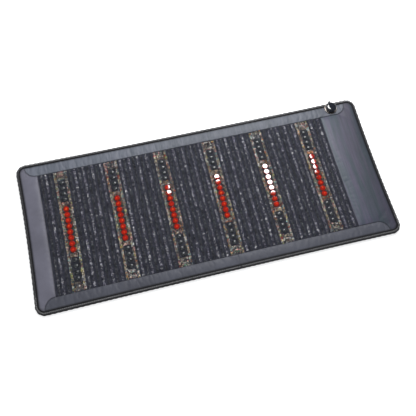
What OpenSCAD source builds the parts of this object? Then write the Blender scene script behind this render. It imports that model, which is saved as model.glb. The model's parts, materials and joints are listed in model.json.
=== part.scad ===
// Infrared gemstone heating mat: a long flat padded mat in three sections. The foot
// section folds over on to the middle one, and then the head section over both.
// Origin: centre of the underside. +X runs to the head end, +Y to the side with
// the power connector, +Z up. Millimetres.

/* [Mat] */
// Length, foot end to head end
mat_length = 1930; // [1915:5:1960]
// Width, front edge to rear edge
mat_width = 813; // [800:1:830]
// Radius of the four outer corners
corner_radius = 50; // [45:1:60]
// Width of the edge binding on the top side
binding_w = 19; // [15:1:22]

/* [Borders] */
// Width of the padded border at the foot end
foot_border_w = 108; // [100:1:120]
// Width of the padded borders along the front and the rear
side_border_w = 75; // [74:0.5:80]
// Distance from the foot end to the arc centre of the long borders
foot_arc_x = 102; // [98:1:106]
// Distance from the head end to the arc centre of the long borders
head_arc_x = 119; // [115:1:122]

/* [Stone columns] */
// Distance between the centres of two photon columns
column_pitch = 272.6; // [268:0.2:274]
// Distance from a column's centre to its flanking row of mixed chips
flank_offset = 29; // [28:0.5:31]
// Width of a flanking row of mixed chips
flank_w = 10; // [8:0.5:11]
// Diameter of a red photon crystal
crystal_d = 29.6; // [26:0.2:31]
// Height of a photon crystal
crystal_h = 7.8; // [7:0.1:9]
// Distance between the centres of two stones in a column
stone_pitch = 32.2; // [31.5:0.1:33]
// Diameter of a black obsidian stone
obsidian_d = 27; // [24:0.5:30]
// Height of an obsidian stone
obsidian_h = 7.3; // [6:0.1:8]
// Width of a rib of chips
rib_w = 14; // [10:0.5:16]
// Height of a rib of chips above the panel
rib_h = 5.2; // [4:0.1:6]

/* [Layers] */
// Thickness of the bottom cover
cover_t = 1.5; // [1:0.1:2]
// Thickness of the shielding foil
foil_t = 0.3; // [0.2:0.1:0.5]
// Thickness of the insulating felt
felt_t = 3; // [2:0.5:4]
// Height of the foam pad at its rim
foam_h = 15.4; // [15:0.1:17]
// Thickness of the foam under the heating layer
foam_floor = 8; // [6:0.5:8]
// Thickness of the padded border strips
border_t = 2.2; // [1.5:0.1:3]
// Thickness of the binding tape
binding_t = 1.6; // [1.2:0.1:2]

/* [Connector] */
// Distance of the connector's centre from the head end
connector_from_head = 146; // [142:1:150]
// Distance of the connector's centre from the rear edge
connector_from_rear = 30.5; // [30:0.5:32]
// Diameter of the metal flange
flange_d = 71; // [70:1:74]
// Diameter of the glossy dome
dome_d = 60; // [58:1:62]
// Height of the dome above the flange
dome_h = 22; // [20:0.5:24]
// Outer radius of the socket's collar
collar_r = 6.5; // [6.2:0.1:6.8]

/* [Fold] */
// Angle of the foot section, folded over on to the middle one
foot_fold = 0; // [0:5:180]
// Angle of the head section, folded over the foot section
head_fold = 0; // [0:5:180]

/* [Hidden] */
FOOT = 0;
MIDDLE = 1;
HEAD = 2;

// Clear space between neighbouring pieces
gap = 0.2;
// Clear space between two sections at a fold line
fold_gap = 0.6;
// Smoothness of round shapes
$fn = 64;

// Plan of the mat
half_length = mat_length / 2;
half_width = mat_width / 2;
panel_x0 = -half_length + foot_border_w;
panel_half_w = half_width - side_border_w;
// The outer ribs lie this far inside the panel's ends
rib_margin = 18;
column_count = 6;
ribs_between = 8;
ribs_outside = 3;
rib_pitch = (column_pitch - 2 * flank_offset) / (ribs_between + 1);
first_column_x = panel_x0 + rib_margin + ribs_outside * rib_pitch + flank_offset;
last_column_x = first_column_x + (column_count - 1) * column_pitch;
panel_x1 = last_column_x + flank_offset + ribs_outside * rib_pitch + rib_margin;

// First column of each section and of a section past the head
section_column = [0, 2, 5, column_count];

// Fold lines, midway between the last column of a section and the next one
foot_fold_x = first_column_x + (section_column[MIDDLE] - 0.5) * column_pitch;
head_fold_x = first_column_x + (section_column[HEAD] - 0.5) * column_pitch;
section_x0 = [-half_length, foot_fold_x + fold_gap / 2, head_fold_x + fold_gap / 2];
section_x1 = [foot_fold_x - fold_gap / 2, head_fold_x - fold_gap / 2, half_length];

// Heights of the layers, each on top of the one before
foil_z = cover_t + gap;
felt_z = foil_z + foil_t + gap;
foam_z = felt_z + felt_t + gap;
wire_z = foam_z + foam_floor + gap;
wire_t = 2.4;
led_z = wire_z + wire_t + gap;
led_board_t = 1;
led_t = 0.6;
panel_z = led_z + led_board_t + led_t + gap;
panel_t = 1;
stone_z = panel_z + panel_t + gap;
border_z = foam_z + foam_h + gap;
binding_z = border_z + border_t + gap;
mat_height = binding_z + binding_t;

// How far sheets reach under the binding and under the borders
cover_inset = 12;
border_inset = 9;
layer_inset = binding_t + 1;
panel_tuck = 8;

// Stones along a column, from the middle outwards
crystals_per_column = 8;
obsidian_per_end = 4;
first_obsidian_y = 168.7;
row_end_y = panel_half_w - 2;
crystal_row_end = crystals_per_column * stone_pitch / 2;
obsidian_row_end = first_obsidian_y + (obsidian_per_end - 0.5) * stone_pitch;
patch_w = 38;
inner_row_w = 5;

// Heating wire
wire_w = 3;
wire_end_y = 290;
wire_lead_y = 280;

// Connector
connector_x = half_length - connector_from_head;
connector_y = half_width - connector_from_rear;
flange_z = mat_height + gap;
flange_t = 3.8;
dome_z = flange_z + flange_t;
dome_wall = 2;
dome_edge_r = 11;
collar_z = dome_z + 8.5;
collar_base_r = collar_r - 0.5;
collar_y0 = connector_y + dome_d / 2 + 0.5;
collar_y1 = collar_y0 + 7;
collar_bore_r = 5;
pin_r = 0.8;
pin_ring_r = 2.6;
screw_r = 1.5;
screw_ring_r = 21;
screw_angles = [190, 270, 350];
wire_hole_r = 6;
wire_hole_y = connector_y - 10;
backplate_d = 60;
backplate_t = 2.5;
harness_w = 6;
harness_t = 1.5;
harness_z = border_z - backplate_t - harness_t - 2 * gap;
harness_x = panel_x1 + panel_tuck + 1.5;
harness_y = wire_lead_y;

// Hinge axes. The foot section folds close over the stones, and the head section
// over the folded foot section with room for its own dome
fold_clear = 1.5;
foot_hinge_z = stone_z + crystal_h + fold_clear;
head_hinge_z = (2 * foot_hinge_z + fold_clear + dome_z + dome_h) / 2;

// ---- Shared shapes ----

// Turns a section's pieces about its fold axis
module folded(section) {
  x = section == FOOT ? foot_fold_x : head_fold_x;
  z = section == FOOT ? foot_hinge_z : head_hinge_z;
  angle = section == FOOT ? foot_fold : section == HEAD ? -head_fold : 0;
  translate([x, 0, z])
    rotate([0, angle, 0])
      translate([-x, 0, -z])
        children();
}

// Plan outline of the whole mat, moved in from its edge
module mat_outline(inset) {
  x = half_length - inset;
  y = half_width - inset;
  r = corner_radius - inset;
  square([2 * x, 2 * (y - r)], center = true);
  square([2 * (x - r), 2 * y], center = true);
  for (sx = [-1, 1], sy = [-1, 1])
    translate([sx * (x - r), sy * (y - r)])
      circle(r);
}

// Part of the plan that belongs to one section
module section_area(section) {
  x0 = section_x0[section];
  translate([x0, -mat_width])
    square([section_x1[section] - x0, 2 * mat_width]);
}

// A flat layer with the outline of one section
module layer(section, inset, z, thickness) {
  translate([0, 0, z])
    linear_extrude(thickness)
      intersection() {
        mat_outline(inset);
        section_area(section);
      }
}

// A box between two corners
module block(low, high) {
  translate(low)
    cube(high - low);
}

// Copies its children to the columns of a section
module at_columns(section) {
  for (i = [section_column[section] : section_column[section + 1] - 1])
    translate([first_column_x + i * column_pitch, 0, 0])
      children();
}

// Copies its children to the crystals' places along a column
module at_crystals() {
  for (i = [0 : crystals_per_column - 1])
    translate([0, (i - (crystals_per_column - 1) / 2) * stone_pitch, 0])
      children();
}

// A round stone with a domed top, standing on z = 0
module cabochon(diameter, height, rim_h) {
  rise = height - rim_h;
  ball_r = (pow(diameter / 2, 2) + rise * rise) / (2 * rise);
  intersection() {
    cylinder(h = height + 1, d = diameter);
    translate([0, 0, height - ball_r])
      sphere(ball_r, $fn = 96);
  }
}

// A straight rib along Y with low sides and a rounded top, standing on z = 0
module rib(width, height, y0, y1) {
  side_h = 0.8;
  rise = height - side_h;
  r = (width * width / 4 + rise * rise) / (2 * rise);
  translate([0, y1, 0])
    rotate([90, 0, 0])
      linear_extrude(y1 - y0)
        intersection() {
          translate([0, height - r])
            circle(r);
          translate([-width / 2, 0])
            square([width, height + 1]);
        }
}

// Centre of rib k in the gap before column g; gap 0 and gap 6 hold the outer ribs
function rib_x(g, k) =
  g == 0 ? panel_x0 + rib_margin + k * rib_pitch
         : first_column_x + (g - 1) * column_pitch + flank_offset + (k + 1) * rib_pitch;

// Number of ribs in a gap
function rib_count(g) = g == 0 || g == column_count ? ribs_outside : ribs_between;

// Dark and light ribs take turns, and each gap from the second on starts the other way
function is_light(g, k) = (k + (g % 2 == 0 && g > 0 ? 0 : 1)) % 2 == 0;

// Ribs of one kind that lie inside a section
module section_ribs(section, light) {
  for (g = [0 : column_count], k = [0 : rib_count(g) - 1]) {
    x = rib_x(g, k);
    inside = x > section_x0[section] && x < section_x1[section];
    if (inside && is_light(g, k) == light)
      translate([x, 0, stone_z])
        rib(rib_w, rib_h, -row_end_y, row_end_y);
  }
}

// Plan of the rear long border with an arc at each end, made larger by grow
module long_border_outline(grow) {
  r = side_border_w - binding_w - 1.5;
  arc_y = panel_half_w + r;
  x0 = -half_length + foot_arc_x;
  x1 = half_length - head_arc_x;
  translate([x0, panel_half_w - grow])
    square([x1 - x0, side_border_w]);
  for (x = [x0, x1])
    translate([x, arc_y])
      circle(r + grow);
  translate([x0 - r - grow, arc_y])
    square([x1 - x0 + 2 * (r + grow), side_border_w]);
}

// Plan of the strip that crosses the mat at one end
module end_border_outline(x0, x1) {
  difference() {
    intersection() {
      mat_outline(border_inset);
      translate([x0, -half_width])
        square([x1 - x0, mat_width]);
    }
    for (side = [0, 1])
      mirror([0, side])
        long_border_outline(gap);
  }
}

// ---- Soft layers ----

module bottom_cover(section) {
  color("#2b2c30")
    folded(section)
      layer(section, cover_inset, 0, cover_t);
}

module shielding_foil(section) {
  color("#c9ccd0")
    folded(section)
      layer(section, layer_inset, foil_z, foil_t);
}

module insulation_felt(section) {
  color("#8d8f92")
    folded(section)
      layer(section, layer_inset, felt_z, felt_t);
}

// Foam tray: full height under the borders, sunk under the stone panel
module foam_pad(section) {
  floor_z = foam_z + foam_floor;
  top = foam_z + foam_h + 1;
  pocket = panel_tuck + 1;
  color("#d8d6cf")
    folded(section)
      difference() {
        layer(section, layer_inset, foam_z, foam_h);
        block([panel_x0 - pocket, -panel_half_w - pocket, floor_z],
              [panel_x1 + pocket, panel_half_w + pocket, top]);
        // room for the connector's backplate and its cable
        block([connector_x - 34, harness_y - 8, floor_z],
              [connector_x + 34, half_width - 5, top]);
        block([panel_x1, harness_y - 8, floor_z],
              [connector_x, harness_y + 8, top]);
      }
}

// Where a section's heating wire starts and ends along the mat
function wire_x0(section) = section == FOOT ? panel_x0 : section_x0[section];
function wire_x1(section) =
  section == HEAD ? panel_x1 + panel_tuck : section_x1[section];

// The head's odd number of runs brings its wire out on the connector's side
wire_runs = [12, 18, 5];
function wire_pitch(section) =
  (wire_x1(section) - wire_x0(section)) / wire_runs[section];

// Heating wire laid to and fro across the section, with leads to its neighbours
module heating_wire(section) {
  runs = wire_runs[section];
  pitch = wire_pitch(section);
  x0 = wire_x0(section);
  color("#b5482e")
    folded(section)
      translate([0, 0, wire_z])
        linear_extrude(wire_t) {
          for (k = [0 : runs - 1])
            translate([x0 + (k + 0.5) * pitch - wire_w / 2, -wire_end_y - 1])
              square([wire_w, 2 * wire_end_y + 2]);
          for (k = [0 : runs - 2]) {
            side = k % 2 == 0 ? 1 : -1;
            translate([x0 + (k + 1) * pitch, side * wire_end_y])
              wire_bend(pitch / 2, side);
          }
          if (section != FOOT)
            translate([x0, -wire_lead_y - wire_w / 2])
              square([pitch / 2, wire_w]);
          translate([wire_x1(section) - pitch / 2,
                     (section == HEAD ? 1 : -1) * wire_lead_y - wire_w / 2])
            square([pitch / 2, wire_w]);
        }
}

// Half ring that joins two runs of wire, a little wider than the runs it overlaps
module wire_bend(radius, side) {
  half_w = wire_w / 2 + 0.2;
  difference() {
    circle(radius + half_w);
    circle(radius - half_w);
    translate([-2 * radius, side > 0 ? -2 * radius : 0])
      square([4 * radius, 2 * radius]);
  }
}

// One strip of red lamps under the crystals of each column
module led_strips(section) {
  strip_w = 12;
  lamp = 5;
  half_strip = crystal_row_end + 6;
  color("#e8e4d8")
    folded(section)
      at_columns(section) {
        block([-strip_w / 2, -half_strip, led_z],
              [strip_w / 2, half_strip, led_z + led_board_t]);
        at_crystals()
          block([-lamp / 2, -lamp / 2, led_z + led_board_t / 2],
                [lamp / 2, lamp / 2, led_z + led_board_t + led_t]);
      }
}

// ---- Stone panel ----

// Base cloth of the stone panel, with a round window under each crystal
module stone_panel(section) {
  window_r = 8;
  x0 = max(section_x0[section], panel_x0 - panel_tuck);
  x1 = min(section_x1[section], panel_x1 + panel_tuck);
  half_w = panel_half_w + panel_tuck;
  color("#3a3b3f")
    folded(section)
      difference() {
        block([x0, -half_w, panel_z], [x1, half_w, panel_z + panel_t]);
        at_columns(section)
          at_crystals()
            translate([0, 0, panel_z - 1])
              cylinder(h = panel_t + 2, r = window_r);
      }
}

module amethyst_ribs(section) {
  color("#8b8793")
    folded(section)
      section_ribs(section, true);
}

module tourmaline_ribs(section) {
  color("#3e4045")
    folded(section)
      section_ribs(section, false);
}

// Rows and patches of mixed chips round the stones of each column
module mixed_chip_rows(section) {
  patch_gap = 1;
  inner_x = crystal_d / 2 + 1 + inner_row_w / 2;
  color("#b07a4a")
    folded(section)
      at_columns(section)
        translate([0, 0, stone_z])
          for (side = [-1, 1]) {
            translate([side * flank_offset, 0, 0])
              rib(flank_w, rib_h, -row_end_y, row_end_y);
            translate([side * inner_x, 0, 0])
              rib(inner_row_w, rib_h / 2, -crystal_row_end, crystal_row_end);
            mirror([0, side > 0 ? 0 : 1, 0]) {
              rib(patch_w, rib_h - 1, crystal_row_end + patch_gap,
                  first_obsidian_y - stone_pitch / 2);
              rib(patch_w, rib_h - 1, obsidian_row_end + patch_gap, row_end_y);
            }
          }
}

// Red photon crystals: domed discs with a small hollow in the crown
module photon_crystals(section) {
  rim_h = 4.5;
  hollow_r = 4;
  hollow_depth = 0.9;
  hollow_ball = (hollow_r * hollow_r + hollow_depth * hollow_depth) / (2 * hollow_depth);
  color("#d01808")
    folded(section)
      at_columns(section)
        at_crystals()
          translate([0, 0, stone_z])
            difference() {
              cabochon(crystal_d, crystal_h, rim_h);
              translate([0, 0, crystal_h - hollow_depth + hollow_ball])
                sphere(hollow_ball, $fn = 96);
            }
}

module obsidian_stones(section) {
  rim_h = 3;
  color("#101114")
    folded(section)
      at_columns(section)
        for (side = [-1, 1], i = [0 : obsidian_per_end - 1])
          translate([0, side * (first_obsidian_y + i * stone_pitch), stone_z])
            cabochon(obsidian_d, obsidian_h, rim_h);
}

// ---- Borders and binding ----

// Long border strip of one section; the head's rear strip carries the connector
module long_border(section, side) {
  color("#76777f")
    folded(section)
      difference() {
        translate([0, 0, border_z])
          linear_extrude(border_t)
            intersection() {
              mirror([0, side > 0 ? 0 : 1])
                long_border_outline(0);
              mat_outline(border_inset);
              section_area(section);
            }
        if (section == HEAD && side > 0) {
          translate([connector_x, wire_hole_y, border_z - 1])
            cylinder(h = border_t + 2, r = wire_hole_r);
          at_screws()
            translate([0, 0, border_z - 1])
              cylinder(h = border_t + 2, r = screw_r + gap);
        }
      }
}

module foot_end_border() {
  color("#6d6d78")
    folded(FOOT)
      translate([0, 0, border_z])
        linear_extrude(border_t)
          end_border_outline(-half_length, panel_x0);
}

module head_end_border() {
  color("#62636e")
    folded(HEAD)
      translate([0, 0, border_z])
        linear_extrude(border_t)
          end_border_outline(panel_x1, half_length);
}

// Binding tape folded round the edge like the letter C
module edge_binding(section) {
  color("#3c3d40")
    folded(section)
      difference() {
        layer(section, 0, 0, mat_height);
        translate([0, 0, binding_t])
          linear_extrude(mat_height - 2 * binding_t)
            mat_outline(binding_t);
        translate([0, 0, -1])
          linear_extrude(binding_t + 2)
            mat_outline(cover_inset - gap);
        translate([0, 0, binding_z - 1])
          linear_extrude(binding_t + 2)
            mat_outline(binding_w);
      }
}

// ---- Connector ----

// Copies its children to the flange's screws
module at_screws() {
  for (angle = screw_angles)
    translate([connector_x + screw_ring_r * cos(angle),
               connector_y + screw_ring_r * sin(angle), 0])
      children();
}

// Metal ring that the dome sits in
module connector_flange() {
  chamfer = 1.2;
  recess = 1;
  color("#7a6f68")
    folded(HEAD)
      difference() {
        translate([connector_x, connector_y, flange_z]) {
          cylinder(h = flange_t - chamfer, d = flange_d);
          translate([0, 0, flange_t - chamfer])
            cylinder(h = chamfer, d1 = flange_d, d2 = flange_d - 2 * chamfer);
        }
        translate([connector_x, connector_y, dome_z - recess])
          cylinder(h = recess + 1, d = dome_d + 2 * gap);
        translate([connector_x, wire_hole_y, flange_z - 1])
          cylinder(h = flange_t + 2, r = wire_hole_r);
        at_screws()
          translate([0, 0, flange_z - 1])
            cylinder(h = flange_t + 2, r = screw_r + gap);
      }
}

// Solid of revolution with a rounded upper edge, standing on z = 0
module puck(diameter, height, edge_r) {
  cylinder(h = height - edge_r, d = diameter);
  translate([0, 0, height - edge_r])
    rotate_extrude() {
      square([diameter / 2 - edge_r, edge_r]);
      translate([diameter / 2 - edge_r, 0])
        intersection() {
          circle(edge_r);
          square(edge_r);
        }
    }
}

// Glossy hollow dome with a hole in its rear wall for the socket
module connector_dome() {
  base_z = dome_z - 1 + gap;
  height = dome_h + 1 - gap;
  color("#15161c")
    folded(HEAD)
      difference() {
        translate([connector_x, connector_y, base_z])
          puck(dome_d, height, dome_edge_r);
        translate([connector_x, connector_y, base_z - 1])
          puck(dome_d - 2 * dome_wall, height - dome_wall + 1, dome_edge_r - dome_wall);
        translate([connector_x, connector_y, collar_z])
          rotate([-90, 0, 0])
            cylinder(h = dome_d, r = collar_base_r + gap / 2);
      }
}

// Rubber pad between the flange and the border, cut back at the binding
module connector_gasket() {
  gasket_z = border_z + border_t + gap;
  color("#1c1c1e")
    folded(HEAD)
      difference() {
        intersection() {
          translate([connector_x, connector_y, gasket_z])
            cylinder(h = flange_z - gap - gasket_z, d = flange_d - 6);
          translate([0, 0, gasket_z - 1])
            linear_extrude(mat_height)
              mat_outline(binding_w + gap);
        }
        translate([connector_x, wire_hole_y, gasket_z - 1])
          cylinder(h = mat_height, r = wire_hole_r);
        at_screws()
          translate([0, 0, gasket_z - 1])
            cylinder(h = mat_height, r = screw_r + gap);
      }
}

// Plate under the border that the flange's screws pull against
module connector_backplate() {
  top = border_z - gap;
  color("#9a9ca0")
    folded(HEAD)
      difference() {
        intersection() {
          translate([connector_x, connector_y, top - backplate_t])
            cylinder(h = backplate_t, d = backplate_d);
          translate([0, 0, top - backplate_t - 1])
            linear_extrude(mat_height)
              mat_outline(layer_inset + 3);
        }
        translate([connector_x, wire_hole_y, top - backplate_t - 1])
          cylinder(h = mat_height, r = wire_hole_r);
        at_screws()
          translate([0, 0, top - backplate_t - 1])
            cylinder(h = mat_height, r = screw_r + 0.05);
      }
}

// Three screws from the flange down into the backplate
module connector_screws() {
  head_r = 2.8;
  head_h = 1.6;
  tip_z = border_z - gap - backplate_t;
  color("#b9babd")
    folded(HEAD)
      at_screws() {
        translate([0, 0, tip_z])
          cylinder(h = dome_z - tip_z, r = screw_r);
        translate([0, 0, dome_z - 1 + gap])
          cylinder(h = head_h, r = head_r);
      }
}

// Round socket in the dome's rear wall, with a collar that the cable's plug slips over
module connector_socket() {
  back_y = collar_y0 - 9;
  color("#2a2b2f")
    folded(HEAD)
      translate([connector_x, 0, collar_z])
        rotate([-90, 0, 0])
          difference() {
            union() {
              translate([0, 0, back_y])
                cylinder(h = collar_y1 - back_y, r = collar_base_r);
              translate([0, 0, collar_y0])
                cylinder(h = collar_y1 - collar_y0, r = collar_r);
            }
            translate([0, 0, back_y + 3])
              cylinder(h = collar_y1, r = collar_bore_r);
            at_pins()
              translate([0, 0, back_y - 1])
                cylinder(h = 10, r = pin_r + 0.05);
          }
}

// Copies its children to the four contacts of the socket
module at_pins() {
  for (i = [0 : 3])
    rotate([0, 0, 45 + 90 * i])
      translate([pin_ring_r, 0, 0])
        children();
}

module connector_pins() {
  tail_y = collar_y0 - 12;
  color("#c9a24a")
    folded(HEAD)
      translate([connector_x, 0, collar_z])
        rotate([-90, 0, 0])
          at_pins()
            translate([0, 0, tail_y])
              cylinder(h = collar_y1 - 2 - tail_y, r = pin_r);
}

// Flat cable from the heating layer to the connector, then up into the dome
module wiring_harness() {
  riser_r = harness_w / 2;
  color("#202024")
    folded(HEAD) {
      translate([0, 0, harness_z])
        linear_extrude(harness_t) {
          translate([harness_x, harness_y - harness_w / 2])
            square([connector_x - harness_x, harness_w]);
          translate([connector_x - harness_w / 2, harness_y])
            square([harness_w, wire_hole_y - harness_y]);
          for (y = [harness_y, wire_hole_y])
            translate([connector_x, y])
              circle(harness_w / 2);
        }
      translate([connector_x, wire_hole_y, harness_z + harness_t / 2])
        cylinder(h = dome_z + 2 - harness_z, r = riser_r);
    }
}

// Sensor bead beside a run of heating wire in the head section
module temperature_sensor() {
  bead_r = 1.1;
  bead_h = 8;
  x = wire_x0(HEAD) + 2 * wire_pitch(HEAD);
  color("#e9e2c8")
    folded(HEAD)
      translate([x, 0, wire_z + bead_r])
        rotate([-90, 0, 0])
          cylinder(h = bead_h, r = bead_r);
}

// One-shot fuse under the cable that opens if the mat overheats
module thermal_fuse() {
  fuse_r = 1.3;
  fuse_l = 14;
  color("#8e9094")
    folded(HEAD)
      translate([harness_x + 12, harness_y, foam_z + foam_floor + gap + fuse_r])
        rotate([0, 90, 0])
          cylinder(h = fuse_l, r = fuse_r);
}

// ---- Pieces by section ----

module foot_bottom_cover() { bottom_cover(FOOT); }
module middle_bottom_cover() { bottom_cover(MIDDLE); }
module head_bottom_cover() { bottom_cover(HEAD); }
module foot_shielding_foil() { shielding_foil(FOOT); }
module middle_shielding_foil() { shielding_foil(MIDDLE); }
module head_shielding_foil() { shielding_foil(HEAD); }
module foot_insulation_felt() { insulation_felt(FOOT); }
module middle_insulation_felt() { insulation_felt(MIDDLE); }
module head_insulation_felt() { insulation_felt(HEAD); }
module foot_foam_pad() { foam_pad(FOOT); }
module middle_foam_pad() { foam_pad(MIDDLE); }
module head_foam_pad() { foam_pad(HEAD); }
module foot_heating_wire() { heating_wire(FOOT); }
module middle_heating_wire() { heating_wire(MIDDLE); }
module head_heating_wire() { heating_wire(HEAD); }
module foot_led_strips() { led_strips(FOOT); }
module middle_led_strips() { led_strips(MIDDLE); }
module head_led_strips() { led_strips(HEAD); }
module foot_stone_panel() { stone_panel(FOOT); }
module middle_stone_panel() { stone_panel(MIDDLE); }
module head_stone_panel() { stone_panel(HEAD); }
module foot_amethyst_ribs() { amethyst_ribs(FOOT); }
module middle_amethyst_ribs() { amethyst_ribs(MIDDLE); }
module head_amethyst_ribs() { amethyst_ribs(HEAD); }
module foot_tourmaline_ribs() { tourmaline_ribs(FOOT); }
module middle_tourmaline_ribs() { tourmaline_ribs(MIDDLE); }
module head_tourmaline_ribs() { tourmaline_ribs(HEAD); }
module foot_mixed_chip_rows() { mixed_chip_rows(FOOT); }
module middle_mixed_chip_rows() { mixed_chip_rows(MIDDLE); }
module head_mixed_chip_rows() { mixed_chip_rows(HEAD); }
module foot_photon_crystals() { photon_crystals(FOOT); }
module middle_photon_crystals() { photon_crystals(MIDDLE); }
module head_photon_crystals() { photon_crystals(HEAD); }
module foot_obsidian_stones() { obsidian_stones(FOOT); }
module middle_obsidian_stones() { obsidian_stones(MIDDLE); }
module head_obsidian_stones() { obsidian_stones(HEAD); }
module foot_front_border() { long_border(FOOT, -1); }
module middle_front_border() { long_border(MIDDLE, -1); }
module head_front_border() { long_border(HEAD, -1); }
module foot_rear_border() { long_border(FOOT, 1); }
module middle_rear_border() { long_border(MIDDLE, 1); }
module head_rear_border() { long_border(HEAD, 1); }
module foot_edge_binding() { edge_binding(FOOT); }
module middle_edge_binding() { edge_binding(MIDDLE); }
module head_edge_binding() { edge_binding(HEAD); }

foot_bottom_cover();
middle_bottom_cover();
head_bottom_cover();
foot_shielding_foil();
middle_shielding_foil();
head_shielding_foil();
foot_insulation_felt();
middle_insulation_felt();
head_insulation_felt();
foot_foam_pad();
middle_foam_pad();
head_foam_pad();
foot_heating_wire();
middle_heating_wire();
head_heating_wire();
foot_led_strips();
middle_led_strips();
head_led_strips();
foot_stone_panel();
middle_stone_panel();
head_stone_panel();
foot_amethyst_ribs();
middle_amethyst_ribs();
head_amethyst_ribs();
foot_tourmaline_ribs();
middle_tourmaline_ribs();
head_tourmaline_ribs();
foot_mixed_chip_rows();
middle_mixed_chip_rows();
head_mixed_chip_rows();
foot_photon_crystals();
middle_photon_crystals();
head_photon_crystals();
foot_obsidian_stones();
middle_obsidian_stones();
head_obsidian_stones();
foot_front_border();
middle_front_border();
head_front_border();
foot_rear_border();
middle_rear_border();
head_rear_border();
foot_end_border();
head_end_border();
foot_edge_binding();
middle_edge_binding();
head_edge_binding();
connector_flange();
connector_dome();
connector_gasket();
connector_backplate();
connector_screws();
connector_socket();
connector_pins();
wiring_harness();
temperature_sensor();
thermal_fuse();
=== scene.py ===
"""Looks of the gemstone heating mat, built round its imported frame. Metres, in the frame's own axes."""

import json
import math

import bmesh
import bpy
import numpy as np
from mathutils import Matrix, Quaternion, Vector
from mathutils.bvhtree import BVHTree


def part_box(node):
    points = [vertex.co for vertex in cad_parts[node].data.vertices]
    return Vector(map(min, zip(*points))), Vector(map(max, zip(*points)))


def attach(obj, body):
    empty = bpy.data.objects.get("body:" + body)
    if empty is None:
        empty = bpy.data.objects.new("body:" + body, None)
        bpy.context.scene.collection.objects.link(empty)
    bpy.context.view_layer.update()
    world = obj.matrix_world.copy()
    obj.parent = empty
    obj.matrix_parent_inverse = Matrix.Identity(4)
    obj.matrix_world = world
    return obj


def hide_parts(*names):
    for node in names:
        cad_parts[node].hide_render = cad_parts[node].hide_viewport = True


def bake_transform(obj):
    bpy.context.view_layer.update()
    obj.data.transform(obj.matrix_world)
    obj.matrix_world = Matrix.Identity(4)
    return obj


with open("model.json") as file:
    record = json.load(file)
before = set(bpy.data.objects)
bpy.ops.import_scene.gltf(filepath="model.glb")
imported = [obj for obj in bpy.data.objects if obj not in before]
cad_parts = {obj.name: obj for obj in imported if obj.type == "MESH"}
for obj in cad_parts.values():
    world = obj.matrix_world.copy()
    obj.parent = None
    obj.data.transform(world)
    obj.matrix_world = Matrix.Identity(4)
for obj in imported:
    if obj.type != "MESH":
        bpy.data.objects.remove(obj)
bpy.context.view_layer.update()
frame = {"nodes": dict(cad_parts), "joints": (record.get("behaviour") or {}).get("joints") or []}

# ---- Places and sizes ----

MM = 0.001
SECTIONS = ("foot", "middle", "head")


def low(node):
    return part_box(node)[0]


def high(node):
    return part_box(node)[1]


HALF_L = high("head_edge_binding").x
HALF_W = high("middle_edge_binding").y
TOP_Z = high("middle_edge_binding").z
PANEL_X0 = high("foot_end_border").x
PANEL_X1 = low("head_end_border").x
PANEL_Y = low("middle_rear_border").y
CLOTH_X0, CLOTH_X1 = low("foot_stone_panel").x, high("head_stone_panel").x
CLOTH_Y = high("middle_stone_panel").y
CLOTH_Z0, CLOTH_Z1 = low("middle_stone_panel").z, high("middle_stone_panel").z
BORDER_Z0, BORDER_Z1 = low("middle_rear_border").z, high("middle_rear_border").z
BORDER_INSET = HALF_W - high("middle_rear_border").y
COVER_INSET = HALF_W - high("middle_bottom_cover").y
FLANGE_LOW, FLANGE_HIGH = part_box("connector_flange")
CONNECTOR_X = (FLANGE_LOW.x + FLANGE_HIGH.x) / 2
CONNECTOR_Y = (FLANGE_LOW.y + FLANGE_HIGH.y) / 2
FLANGE_R = (FLANGE_HIGH.x - FLANGE_LOW.x) / 2

# Sizes that the boxes don't tell
CORNER_R = 50 * MM
BINDING_W = 19 * MM
LAYER_INSET = 10 * MM
ARC_R = HALF_W - BINDING_W - 1.5 * MM - PANEL_Y
ARC_X0 = low("foot_rear_border").x + ARC_R
ARC_X1 = high("head_rear_border").x - ARC_R
ARC_Y = PANEL_Y + ARC_R

FOLD_X = {joint["name"]: joint["pos_m"][0] for joint in frame["joints"]}
SPLIT_X = (FOLD_X["foot_fold"] + FOLD_X["head_fold"]) / 2
# Half the length over which the mat bends at each fold
FOLD_REACH = {"foot_fold": 40 * MM, "head_fold": 60 * MM}


def edge_distance(x, y):
    """Distance inwards from the mat's rounded outline."""
    qx = np.abs(x) - (HALF_L - CORNER_R)
    qy = np.abs(y) - (HALF_W - CORNER_R)
    outside = np.hypot(np.maximum(qx, 0), np.maximum(qy, 0))
    return CORNER_R - outside - np.minimum(np.maximum(qx, qy), 0)


def outline_y(x, inset):
    """Half width of the mat's outline at x, moved inwards."""
    r = CORNER_R - inset
    past = np.clip(np.abs(x) - (HALF_L - CORNER_R), 0, r)
    return HALF_W - CORNER_R + np.sqrt(r * r - past * past)


def long_seam_distance(x, y):
    """Distance from the long border's seam, positive on the long border."""
    dx = x - np.clip(x, ARC_X0, ARC_X1)
    return ARC_R - np.hypot(dx, np.minimum(np.abs(y) - ARC_Y, 0))


def drawn_in(points, inset):
    """Moves points that are nearer the mat's edge than inset inwards to it."""
    x, y = points[:, 0], points[:, 1]
    step = 0.5 * MM
    inward = np.stack([edge_distance(x + step, y) - edge_distance(x - step, y),
                       edge_distance(x, y + step) - edge_distance(x, y - step)], axis=1) / (2 * step)
    points[:, :2] += inward * np.maximum(inset - edge_distance(x, y), 0)[:, None]


def from_connector(x, y):
    return np.hypot(x - CONNECTOR_X, y - CONNECTOR_Y)


def smooth_step(t):
    t = np.clip(t, 0, 1)
    return t * t * (3 - 2 * t)


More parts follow.
